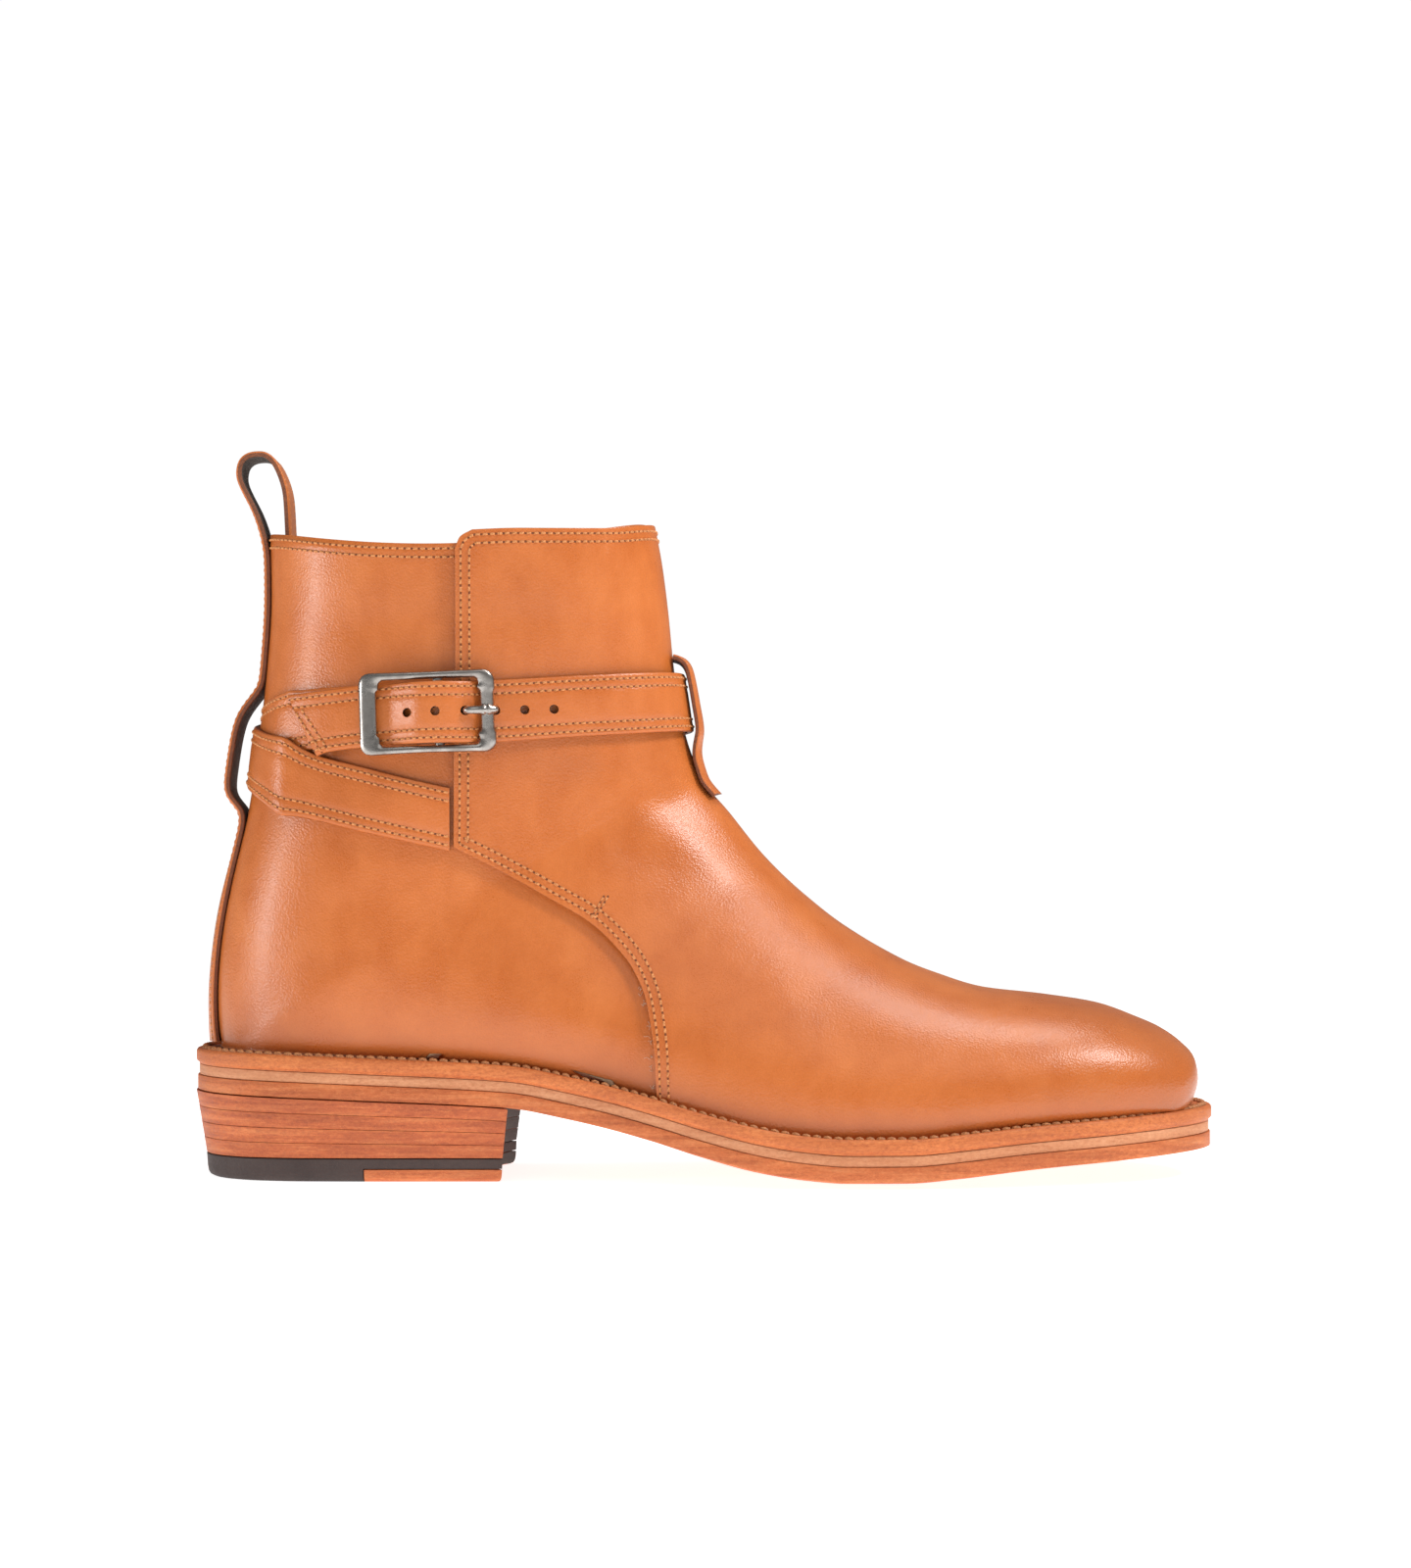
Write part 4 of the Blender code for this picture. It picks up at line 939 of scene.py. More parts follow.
def make_sole():
    outsole = OUTSOLE_THICKNESS + 0.5 * GAP
    make_plate("outsole", OUTSOLE_INSET, 0.0, outsole, 0.0003, "sole", "sole_leather")
    make_plate(
        "midsole",
        MIDSOLE_INSET,
        MIDSOLE_BOTTOM,
        MIDSOLE_THICKNESS + 0.5 * GAP,
        0.00015,
        "midsole",
        "midsole_leather",
    )
    make_plate(
        "insole",
        lambda s: upper_margin(s) + WELT_RIM + INSOLE_PLAY,
        WELT_BOTTOM,
        WELT_THICKNESS + GAP + INSOLE_THICKNESS,
        0.0008,
        "insole",
        "insole_leather",
    )


HEEL_ROWS = 46
HEEL_COLUMNS = 25
HEEL_SOFTNESS = 0.00008
# Height of the fine line left between two layers
JOINT = 0.00010


def heel_level(height, inset):
    """Grid of one level of the heel, with its hollow front."""
    outer, inner = two_sides(inset_path(inset))
    start = outer[0, 0]
    front = HEEL_LENGTH - BREAST_RAKE * inset / HEEL_TAPER
    grid = np.zeros((HEEL_ROWS, HEEL_COLUMNS, 3))
    for i, along in enumerate(np.linspace(0, 1, HEEL_ROWS) ** 2):
        s = start + (front - start) * along
        widths = (np.interp(s, outer[:, 0], -outer[:, 1]), np.interp(s, inner[:, 0], inner[:, 1]))
        for j, across in enumerate(np.linspace(-1, 1, HEEL_COLUMNS)):
            y = across * widths[0 if across < 0 else 1]
            back = BREAST_HOLLOW * (1 - across * across) * along
            grid[i, j] = (s - back - ORIGIN_FROM_BACK, y, height(s - back, y))
    return grid


def darken_breast(mesh, slot):
    """Gives the heel's hollow front face the second finish."""
    near = 0.6 * HEEL_LENGTH - ORIGIN_FROM_BACK
    for face in mesh.polygons:
        if face.normal.x > 0.6 and face.center.x > near:
            face.material_index = slot


def make_heel():
    floor = TOP_PIECE_THICKNESS + GAP

    def level(share, lift):
        return lambda s, y: (1 - share) * (float(underside(s, y)) - GAP) + share * floor + lift

    for i in range(LIFT_COUNT):
        high = i / LIFT_COUNT
        low = (i + 1) / LIFT_COUNT
        rest = JOINT if i < LIFT_COUNT - 1 else 0.0
        soft = HEEL_SOFTNESS
        levels = [
            heel_level(level(low, rest), HEEL_TAPER * low + soft),
            heel_level(level(low, rest + soft), HEEL_TAPER * low),
            heel_level(level(high, -soft), HEEL_TAPER * high),
            heel_level(level(high, 0.0), HEEL_TAPER * high + soft),
        ]
        name = f"heel_lift_{i + 1}"
        mesh = levels_mesh(name, levels)
        darken_breast(mesh, 1)
        new_piece(name + "_look", mesh, ["lift", "dark_breast"], "sole_leather", name)


# Side of the rubber top piece from the floor up
TOP_PIECE_EDGE = (
    # share of TOP_PIECE_BEVEL drawn in, share of TOP_PIECE_THICKNESS
    (1.00, 0.00),
    (0.55, 0.03),
    (0.30, 0.10),
    (0.16, 0.22),
    (0.08, 0.45),
    (0.00, 0.97),
    (0.05, 1.00),
)


def top_piece_mesh(name):
    levels = []
    for drawn, up in TOP_PIECE_EDGE:
        height = up * TOP_PIECE_THICKNESS
        levels.append(heel_level(lambda s, y: height, HEEL_TAPER + drawn * TOP_PIECE_BEVEL))
    return levels_mesh(name, levels)


def box_mesh(name, low, high):
    shape = bmesh.new()
    bmesh.ops.create_cube(shape, size=1.0)
    for vert in shape.verts:
        for k in range(3):
            vert.co[k] = high[k] if vert.co[k] > 0 else low[k]
    return mesh_of(shape, name)


def insert_box(name, clear):
    back = INSERT_BACK + clear - ORIGIN_FROM_BACK
    room = HEEL_LENGTH
    return box_mesh(name, (back, -room, -room), (back + room, room, INSERT_THICKNESS - clear))


def make_top_piece():
    rubber = new_piece(
        "top_piece_look", top_piece_mesh("top_piece"), ["rubber"], "heel_rubber", "top_piece"
    )
    cut(rubber, insert_box("insert_seat", 0.0))
    insert = new_piece(
        "top_piece_insert_look",
        top_piece_mesh("insert"),
        ["sole", "dark_breast"],
        "sole_leather",
        "top_piece_insert",
    )
    cut(insert, insert_box("insert_block", GAP), "INTERSECT")
    darken_breast(insert.data, 1)
    for piece in (rubber, insert):
        piece.data.set_sharp_from_angle(angle=SHARP_ANGLE)


# Upper

# Line on the welt where the upper's outside stands
FEATHER_OUTER, FEATHER_INNER = two_sides(inset_path(upper_margin))
FEATHER_BACK = FEATHER_OUTER[0, 0]
FEATHER_TOE = FEATHER_OUTER[-1, 0]


def place(at, up):
    """Side-view point from a share of the length and a share of the upper's height."""
    s = at * SHOE_LENGTH
    return s, float(underside(s, 0.0)) + SEAT + up * UPPER_HEIGHT


def side_width(section, share, base, widest, rounded):
    """Half-width of a section a share of the way from its base to its ridge.

    A rounded flank starts part of the way up the curve of one that starts at a seam.
    """
    top, crown, flank = section
    if share <= widest:
        q = share / widest
        plain = base + (top - base) * (1 - (1 - q) ** 2) ** flank
        start = 1 - math.sqrt(max(0.0, 1 - min(base / top, 0.999) ** (1 / flank)))
        on_curve = top * (1 - (1 - start - (1 - start) * q) ** 2) ** flank
        return plain + (on_curve - plain) * rounded
    q = (share - widest) / (1 - widest)
    return top * max(0.0, 1 - q**crown) ** (1 / crown)


# Rows of SECTIONS over which the flank turns into a rounded one toward the heel
ROUNDED_ROWS = (13.0, 14.6)


def section_values(t):
    rows = range(len(SECTIONS))
    return [float(smooth(rows, column(SECTIONS, k), t)) for k in range(11)]


def section_points(t, flank_steps, crown_steps):
    """Points of one section from the outer base over the ridge to the inner base."""
    (ridge_at, ridge_up, base_at, base_up, outer, inner, widest, crown, flank, lean, dip) = (
        section_values(t)
    )
    ridge_s, ridge_z = place(ridge_at, ridge_up)
    base_s, base_z = place(base_at, base_up)
    if t == 0:
        ridge_s = FEATHER_TOE
    rounded = float(ease(t, *ROUNDED_ROWS))
    on_seam = base_up > 0
    if not on_seam:
        base_s = max(base_s, FEATHER_BACK)
    feather = (
        np.interp(base_s, FEATHER_OUTER[:, 0], -FEATHER_OUTER[:, 1]),
        np.interp(base_s, FEATHER_INNER[:, 0], FEATHER_INNER[:, 1]),
    )
    on_seam = on_seam or base_s <= FEATHER_BACK
    shares = [
        widest * (1 - math.cos(0.5 * math.pi * i / flank_steps)) for i in range(flank_steps)
    ]
    shares += [
        widest + (1 - widest) * math.sin(0.5 * math.pi * i / crown_steps)
        for i in range(crown_steps + 1)
    ]
    halves = []
    for side, top in ((-1, outer * BALL_WIDTH), (1, inner * BALL_WIDTH)):
        base = 0.0 if on_seam else feather[0 if side < 0 else 1]
        lift = 0.0 if on_seam else float(underside(base_s, side * base) - underside(base_s, 0.0))
        points = []
        for share in shares:
            s = base_s + (ridge_s - base_s) * share
            z = base_z + (ridge_z - base_z) * share + lift * (1 - share)
            z -= 4 * dip * UPPER_HEIGHT * share * (1 - share)
            section = (max(top, base), crown, flank)
            width = side_width(section, share, base, widest, rounded)
            y = side * width + lean * BALL_WIDTH * share
            points.append((s - ORIGIN_FROM_BACK, y, z))
        halves.append(points)
    return halves[0] + halves[1][-2::-1]


def upper_rows():
    rows = []
    for i, row in enumerate(SECTIONS[:-1]):
        cuts = row[-1] * SKIN_FINENESS
        rows += [i + k / cuts for k in range(cuts)]
    return rows + [len(SECTIONS) - 1]


# Rows of SECTIONS, and columns counted from the base, over which the heel's flank is
# evened out
RELAXED_ROWS = (11.0, 19.0)
RELAXED_COLUMNS = (18, 32)
RELAX_PASSES = 70

# Soft troughs in the leather, or ridges where the depth is negative. at, up: middle;
# half-length and half-width in metres; tilt in degrees; depth in metres.
CREASES = (
    # at, up, half_length, half_width, tilt, depth
    (0.455, 0.560, 0.0170, 0.0042, -38, 0.00060),
    (0.470, 0.490, 0.0190, 0.0046, -36, -0.00045),
    (0.430, 0.440, 0.0160, 0.0042, -30, 0.00045),
    (0.380, 0.600, 0.0140, 0.0050, -12, -0.00035),
    (0.620, 0.220, 0.0060, 0.0200, 24, 0.00035),
    (0.575, 0.200, 0.0060, 0.0190, 20, -0.00030),
    (0.660, 0.180, 0.0055, 0.0160, 28, 0.00025),
    (0.180, 0.800, 0.0150, 0.0050, 8, 0.00040),
    (0.150, 0.880, 0.0120, 0.0045, 4, -0.00030),
    (0.340, 0.830, 0.0180, 0.0055, -6, 0.00030),
    (0.150, 0.270, 0.0160, 0.0060, 16, 0.00030),
    (0.300, 0.170, 0.0170, 0.0055, -14, -0.00030),
)


def skin_grid():
    """Points of the quarters' outside, relaxed where the sections fan out."""
    rows = upper_rows()
    flank = FLANK_STEPS * SKIN_FINENESS
    crown = CROWN_STEPS * SKIN_FINENESS
    grid = np.array([section_points(t, flank, crown) for t in rows])
    weight = ease(np.array(rows), RELAXED_ROWS[0], RELAXED_ROWS[0] + 1.5)
    weight *= 1 - ease(np.array(rows), RELAXED_ROWS[1] - 1.5, RELAXED_ROWS[1])
    columns = np.arange(grid.shape[1])
    from_base = np.minimum(columns, columns[::-1])
    spread = 1 - ease(from_base, RELAXED_COLUMNS[0], RELAXED_COLUMNS[1])
    weight = 0.5 * weight[1:-1, None, None] * spread[None, 1:-1, None]
    for _ in range(RELAX_PASSES):
        middle = grid[1:-1, 1:-1]
        around = 0.5 * (grid[:-2, 1:-1] + grid[2:, 1:-1])
        grid[1:-1, 1:-1] = middle + weight * (around - middle)
    return creased(grid)


def creased(grid):
    """Grid with the soft waves that lasting and lacing leave in the leather."""
    x, y, z = grid[:, :, 0], grid[:, :, 1], grid[:, :, 2]
    side = np.clip(y / 0.010, -1.0, 1.0)
    for at, up, half_length, half_width, tilt, depth in CREASES:
        s, height = place(at, up)
        ahead = x + ORIGIN_FROM_BACK - s
        above = z - height
        turn = math.radians(tilt)
        along = ahead * math.cos(turn) + above * math.sin(turn)
        across = above * math.cos(turn) - ahead * math.sin(turn)
        y -= side * depth * bell(along, 0.0, half_length) * bell(across, 0.0, half_width)
    return grid


SKIN_GRID = skin_grid()


def open_skin(rise):
    """Welded open surface of the upper; a rise adds rows above the collar."""
    grid = SKIN_GRID
    if rise:
        above = [grid[-1] + np.array([0, 0, rise * k / 3]) for k in (1, 2, 3)]
        grid = np.concatenate([grid, np.array(above)])
    rows, columns = grid.shape[:2]
    mesh = mesh_from("skin", list(grid.reshape(-1, 3)), grid_faces(rows, columns))
    shape = bmesh.new()
    shape.from_mesh(mesh)
    centre = Vector((0.25 * SHOE_LENGTH - ORIGIN_FROM_BACK, 0, 0.5 * UPPER_HEIGHT))
    shape.normal_update()
    if sum((f.calc_center_median() - centre).dot(f.normal) for f in shape.faces) < 0:
        bmesh.ops.reverse_faces(shape, faces=shape.faces)
        shape.normal_update()
    shape.to_mesh(mesh)
    shape.free()
    return mesh


def add_burnish_and_strap_shadow(mesh):
    """Stores how dark the leather is: rubbed darker along the welt and toward the toe, with a
    painted shadow in a band just below the straps.
    """
    points = np.zeros(3 * len(mesh.vertices))
    mesh.vertices.foreach_get("co", points)
    x, y, z = points.reshape(-1, 3).T
    s = x + ORIGIN_FROM_BACK
    up = np.maximum(z - underside(s, y) - SEAT, 0.0)
    low = 0.62 * np.exp(-up / 0.0052)
    toe = 0.32 * ease(s, 0.76 * SHOE_LENGTH, SHOE_LENGTH)
    strap_z = shaft_height(BUCKLE_UP) - 0.75 * STRAP_WIDTH
    # Painted shadow: a dark band just below the straps' lower edge, where they shade the shaft.
    under = 0.20 * bell(z, strap_z, 0.006) * (s < 0.40 * SHOE_LENGTH)
    layer = mesh.attributes.new("burnish_and_strap_shadow", "FLOAT", "POINT")
    layer.data.foreach_set("value", np.minimum(low + toe + under, 1.0))


def shell(mesh, offset, thickness, looks, name, slot, node):
    """Upper piece from the open skin moved out by an offset, with a wall and lining."""
    for vert, move in [(v, v.normal.copy() * offset) for v in mesh.vertices]:
        vert.co += move
    add_burnish_and_strap_shadow(mesh)
    piece = new_piece(name, mesh, looks, slot, node)
    wall = piece.modifiers.new("wall", "SOLIDIFY")
    wall.thickness = abs(thickness)
    wall.offset = 1.0 if thickness > 0 else -1.0
    wall.use_quality_normals = True
    wall.material_offset = 0 if thickness > 0 else 2
    wall.material_offset_rim = 1
    bpy.context.view_layer.update()
    apply_modifiers(piece)
    return piece


def shaft_height(up):
    return place(SHAFT_MIDDLE, 0.0)[1] + up * UPPER_HEIGHT


SHAFT_MIDDLE = 0.2475
LAYER = max(STRAP_THICKNESS, VAMP_THICKNESS) + GAP


def vamp_outline(steps=10):
    """Side-view outline of the vamp's edge, smooth between its corners."""
    points = np.array([place(at, up) for at, up in VAMP_EDGE])
    outline = []
    for first, last in zip(VAMP_CORNERS, VAMP_CORNERS[1:]):
        run = points[first : last + 1]
        along = np.concatenate([[0], np.cumsum(np.linalg.norm(np.diff(run, axis=0), axis=1))])
        where = np.linspace(0, along[-1], steps * (last - first) + 1)
        line = np.column_stack([smooth(along, run[:, k], where) for k in (0, 1)])
        outline += list(line if last == VAMP_CORNERS[-1] else line[:-1])
    return np.array(outline)


VAMP_OUTLINE = vamp_outline()


def prism_mesh(name, outline, half_width):
    ring = [(s - ORIGIN_FROM_BACK, z) for s, z in outline]
    points = [(x, -half_width, z) for x, z in ring] + [(x, half_width, z) for x, z in ring]
    count = len(ring)
    faces = [tuple(range(count)), tuple(range(2 * count - 1, count - 1, -1))]
    for a in range(count):
        b = (a + 1) % count
        faces.append((b, a, a + count, b + count))
    return mesh_from(name, points, faces)


def make_upper():
    shell(
        open_skin(0.0),
        0.0,
        -QUARTER_THICKNESS,
        ["tan", "cut", "lining"],
        "upper_look",
        "upper_leather",
        "upper",
    )


def make_vamp():
    """Vamp and front of the shaft in one, laid over the quarters."""
    vamp = shell(
        open_skin(COLLAR_STEP),
        GAP,
        VAMP_THICKNESS,
        ["tan", "cut"],
        "vamp_look",
        "upper_leather",
        "vamp",
    )
    beyond = SHOE_LENGTH + WELT_MARGIN
    low = VAMP_OUTLINE[0][1] - HEEL_RISE
    outline = list(VAMP_OUTLINE) + [
        (beyond, VAMP_OUTLINE[-1][1]),
        (beyond, low),
        (VAMP_OUTLINE[0][0], low),
    ]
    prism = prism_mesh("vamp_outline", outline, BALL_WIDTH)
    prism.materials.append(LOOKS["cut"])
    cut(vamp, prism, "INTERSECT", overlapping=True)
    vamp.data.set_sharp_from_angle(angle=VAMP_SHARP_ANGLE)


# Straps


def make_guide():
    mesh = open_skin(2 * COLLAR_STEP)
    points = [v.co.copy() for v in mesh.vertices]
    normals = [v.normal.copy() for v in mesh.vertices]
    faces = [tuple(f.vertices) for f in mesh.polygons]
    bpy.data.meshes.remove(mesh)
    return BVHTree.FromPolygons(points, faces), points, normals, faces


GUIDE, GUIDE_POINTS, GUIDE_NORMALS, GUIDE_FACES = make_guide()


def touch_upper(s, turn, z, y=0.0):
    """Point and smooth normal where a level ray from the middle plane leaves the upper."""
    direction = Vector((math.cos(math.radians(turn)), math.sin(math.radians(turn)), 0))
    start = Vector((s - ORIGIN_FROM_BACK, y, z))
    point, flat, index, _ = GUIDE.ray_cast(start, direction)
    corners = GUIDE_FACES[index]
    weights = poly_3d_calc([GUIDE_POINTS[i] for i in corners], point)
    normal = Vector((0, 0, 0))
    for i, weight in zip(corners, weights):
        normal += GUIDE_NORMALS[i] * weight
    return point, normal.normalized()


def on_upper(s, turn, z, out, y=0.0):
    point, normal = touch_upper(s, turn, z, y)
    return point + normal * out


def buckle_up(at):
    return BUCKLE_UP + BUCKLE_SLOPE * (at - BUCKLE_AT)


def strap_rows(table):
    """Centre line of a strap: place, turn, height, distance out and slant of each row."""
    rows = [
        (at, turn, buckle_up(at) if up is None else up, layer, slant)
        for at, turn, up, layer, slant in table
    ]
    return [
        (at * SHOE_LENGTH, turn, shaft_height(up), GAP + layer * LAYER, slant)
        for at, turn, up, layer, slant in rows_between(rows, STRAP_STEPS)
    ]


STRAP_COLUMNS = 9


def strap_ribbon(rows):
    """Inner face of a strap, one line of points across it per row."""
    ribbon = np.zeros((len(rows), STRAP_COLUMNS, 3))
    for k, (s, turn, z, out, slant) in enumerate(rows):
        before = rows[max(k - 1, 0)]
        after = rows[min(k + 1, len(rows) - 1)]
        run = on_upper(*after[:3], 0.0) - on_upper(*before[:3], 0.0)
        stretch = run.length / max(math.hypot(run.x, run.y), 1e-6)
        for j, share in enumerate(np.linspace(-0.5, 0.5, STRAP_COLUMNS)):
            shift = share * slant * STRAP_WIDTH
            height = z + share * STRAP_WIDTH * stretch
            ribbon[k, j] = on_upper(s - shift, turn, height, out)
    return ribbon


def smoothed(ribbon, passes):
    """Ribbon with its rows evened out along its length, ends held."""
    for _ in range(passes):
        ribbon[1:-1] = 0.5 * ribbon[1:-1] + 0.25 * (ribbon[:-2] + ribbon[2:])
    return ribbon


def levelled(ribbon, reach):
    """Ribbon whose height changes evenly along its length, by straight fits over a reach."""
    middle = ribbon[:, STRAP_COLUMNS // 2]
    steps = np.linalg.norm(np.diff(middle, axis=0), axis=1)
    along = np.concatenate([[0], np.cumsum(steps)])
    share = np.gradient(along)
    shift = np.zeros(len(along))
    for k, here in enumerate(along):
        weight = share * bell(along, here, reach)
        apart = along - here
        total = weight.sum()
        first = (weight * apart).sum() / total
        second = (weight * apart * apart).sum() / total
        level = (weight * middle[:, 2]).sum() / total
        tilt = (weight * apart * middle[:, 2]).sum() / total
        fitted = (second * level - first * tilt) / (second - first * first)
        shift[k] = fitted - middle[k, 2]
    ribbon[:, :, 2] += shift[:, None]
    return ribbon


def ribbon_normals(ribbon, outward):
    """Unit normals of a ribbon, turned so that the first row's points along outward."""
    along = np.gradient(ribbon, axis=0)
    across = np.gradient(ribbon, axis=1)
    normals = np.cross(along, across)
    normals /= np.linalg.norm(normals, axis=2)[..., None]
    if np.dot(normals[0].mean(axis=0), outward) < 0:
        normals = -normals
    return normals


def strap_section(width, thickness, puff=0.0):
    """Cross-section of a strap and the finish of each of its strips.

    A puff raises the middle and sinks the two stitched rows beside each edge.
    """
    half = 0.5 * width
    top = thickness
    soft = 0.30 * thickness
    right = [
        (half - 0.5 * soft, 0.0, 1),
        (half, 0.5 * soft, 1),
        (half, top - soft, 1),
        (half - 0.3 * soft, top - 0.3 * soft, 0),
        (half - soft, top, 0),
    ]
    if puff:
        first, second = SEAM_ROWS
        right += [
            (half - first + 0.0004, top + 0.3 * puff, 0),
            (half - first, top - 0.3 * puff, 0),
            (half - first - 0.0004, top + 0.4 * puff, 0),
            (half - second + 0.0004, top + 0.4 * puff, 0),
            (half - second, top - 0.3 * puff, 0),
            (half - second - 0.0005, top + 0.5 * puff, 0),
            (half - second - 0.0018, top + puff, 0),
        ]
    right.append((0.25 * half, top + 1.1 * puff, 0))
    left = [(-across, height, slot) for across, height, slot in reversed(right)]
    points = [(across, height) for across, height, _ in right + left]
    slots = [slot for _, _, slot in right[1:]] + [0]
    slots += [slot for _, _, slot in left[:-1]] + [2]
    return points, slots


def sweep(name, ribbon, normals, width, section):
    """Closed strap: the cross-section carried along the ribbon."""
    points, slots = section
    shares = np.linspace(-0.5, 0.5, ribbon.shape[1])
    loops = []
    for line, outs in zip(ribbon, normals):
        loop = []
        for across, height in points:
            share = across / width
            point = between(share, shares, line)
            out = between(share, shares, outs)
            loop.append(point + out * height / np.linalg.norm(out))
        loops.append(loop)
    return loops_mesh(name, loops, slots)


def strap_piece(name, ribbon, outward, width, thickness, puff=0.0):
    """Strap swept along a ribbon, and the ribbon's normals."""
    normals = ribbon_normals(ribbon, outward)
    mesh = sweep(name, ribbon, normals, width, strap_section(width, thickness, puff))
    looks = ["tan", "cut", "flesh"]
    return new_piece(name + "_look", mesh, looks, "strap_leather", name), normals


FRAME_OUT = GAP + LAYER + STRAP_THICKNESS + BUCKLE_LIFT
FRAME_WINDOW = STRAP_WIDTH + 2 * BUCKLE_PLAY
FRAME_HEIGHT = FRAME_WINDOW + 2 * FRAME_EDGE_BAR
BAR_OUT = FRAME_OUT - BAR_DROP
PRONG_HOLE_ALONG = 0.5 * FRAME_LENGTH - FRAME_FRONT_BAR - PRONG_HOLE_BACK
FOLD_STEPS = 12
STRAP_PUFF = 0.00022


def on_buckle(along, across, out):
    """Point of the buckle's own sheet, along the strap and across it from its middle."""
    tilt = math.atan(BUCKLE_SLOPE * UPPER_HEIGHT / SHOE_LENGTH)
    s = BUCKLE_AT * SHOE_LENGTH + along * math.cos(tilt) - across * math.sin(tilt)
    z = shaft_height(BUCKLE_UP) + along * math.sin(tilt) + across * math.cos(tilt)
    base = on_upper(s, -90, z, 0.0)
    return Vector((base.x, base.y - out, base.z))


def ribbon_line(ribbon, normals, width, across, out):
    """Points and normals along a ribbon at a distance from its middle."""
    shares = np.linspace(-0.5, 0.5, ribbon.shape[1])
    share = across / width
    points = np.array([between(share, shares, line) for line in ribbon])
    outs = np.array([between(share, shares, line) for line in normals])
    outs /= np.linalg.norm(outs, axis=1)[:, None]
    return points + outs * out, outs


# One stitch from its start to its end, in six-sided rings
STITCH_SHAPE = (
    # share of its length, rise and girth as shares of the thread's radius
    (0.00, -0.90, 0.55),
    (0.18, 0.05, 0.95),
    (0.50, 0.35, 1.00),
    (0.82, 0.05, 0.95),
    (1.00, -0.90, 0.55),
)
STITCH_SIDES = 6

# Painted shade of a needle hole: a dark disc whose length is a share of its width, with heights
# of its edge and its middle
NEEDLE_STRETCH = 1.2
NEEDLE_EDGE = 0.00003
NEEDLE_MIDDLE = 0.00009


class Stitching:
    """Collects stitches of thread, and dark discs of painted shade at their needle holes, into
    one mesh.
    """

    def __init__(self, thread_radius=THREAD_RADIUS, hole_radius=NEEDLE_HOLE):
        self.radius = thread_radius
        self.needle_shade = hole_radius
        self.points = []
        self.faces = []
        self.slots = []

    def stitch(self, start, end, normal, lean=0.0):
        """One stitch that rises out of the leather and dips back into it."""
        along = end - start
        length = np.linalg.norm(along)
        along = along / length
        side = np.cross(normal, along)
        start = start + side * lean
        end = end - side * lean
        first = len(self.points)
        sides = STITCH_SIDES
        for share, rise, girth in STITCH_SHAPE:
            centre = start + (end - start) * share + normal * rise * self.radius
            for k in range(sides):
                angle = 2 * math.pi * k / sides
                ring = side * math.cos(angle) + normal * math.sin(angle)
                self.points.append(centre + ring * girth * self.radius)
        for i in range(len(STITCH_SHAPE) - 1):
            for k in range(sides):
                m = (k + 1) % sides
                a = first + i * sides
                self.faces.append((a + k, a + m, a + sides + m, a + sides + k))
                self.slots.append(0)
        last = first + (len(STITCH_SHAPE) - 1) * sides
        self.faces.append(tuple(range(first + sides - 1, first - 1, -1)))
        self.faces.append(tuple(range(last, last + sides)))
        self.slots += [0, 0]

    def needle(self, point, normal, along):
        """Low dark cone of painted shade where the thread enters the leather, just above its
        surface.
        """
        side = np.cross(normal, along)
        first = len(self.points)
        sides = STITCH_SIDES
        for k in range(sides):
            angle = 2 * math.pi * k / sides
            ring = along * math.cos(angle) * NEEDLE_STRETCH + side * math.sin(angle)
            self.points.append(point + ring * self.needle_shade + normal * NEEDLE_EDGE)
        self.points.append(point + normal * NEEDLE_MIDDLE)
        for k in range(sides):
            self.faces.append((first + k, first + (k + 1) % sides, first + sides))
            self.slots.append(1)

    def row(self, points, normals, pitch=STITCH_PITCH, length=STITCH_LENGTH, lean=0.0):
        """Stitches at even steps along a line on the leather."""
        steps = np.linalg.norm(np.diff(points, axis=0), axis=1)
        along = np.concatenate([[0], np.cumsum(steps)])
        count = int(along[-1] / pitch)
        if count < 1:
            return
        for k in range(count):
            middle = (k + 0.5) * along[-1] / count
            start = between(middle - 0.5 * length, along, points)
            end = between(middle + 0.5 * length, along, points)
            normal = between(middle, along, normals)
            normal /= np.linalg.norm(normal)
            self.stitch(start, end, normal, lean)
            # A dark disc of painted shade at each needle hole
            if self.needle_shade:
                where = between(middle + 0.5 * pitch, along, points)
                ahead = (end - start) / np.linalg.norm(end - start)
                self.needle(where, normal, ahead)

    def make(self, name, looks, slot):
        mesh = bpy.data.meshes.new(name)
        mesh.from_pydata([tuple(p) for p in self.points], [], self.faces)
        mesh.polygons.foreach_set("material_index", self.slots)
        mesh.shade_smooth()
        return new_piece(name, mesh, looks, slot)


def strap_seams(stitching, ribbon, normals, first=0, last=None):
    """Two rows of stitches beside each edge of a strap."""
    for side in (-1, 1):
        for inset in SEAM_ROWS:
            across = side * (0.5 * STRAP_WIDTH - inset)
            line, outs = ribbon_line(ribbon, normals, STRAP_WIDTH, across, STRAP_THICKNESS)
            stitching.row(line[first:last], outs[first:last])


def hole_mesh(radius):
    """Round punches for the strap's holes, joined in one mesh."""
    shape = bmesh.new()
    for k in range(HOLE_COUNT):
        along = PRONG_HOLE_ALONG + (k - PRONG_HOLE) * HOLE_PITCH
        point = on_buckle(along, 0.0, 0.5 * FRAME_OUT)
        bmesh.ops.create_cone(
            shape,
            cap_ends=True,
            segments=24,
            radius1=radius,
            radius2=radius,
            depth=5 * FRAME_OUT,
            matrix=Matrix.Translation(point) @ Matrix.Rotation(0.5 * math.pi, 4, "X"),
        )
    mesh = mesh_of(shape, "strap_holes")
    mesh.materials.append(LOOKS["flesh"])
    return mesh


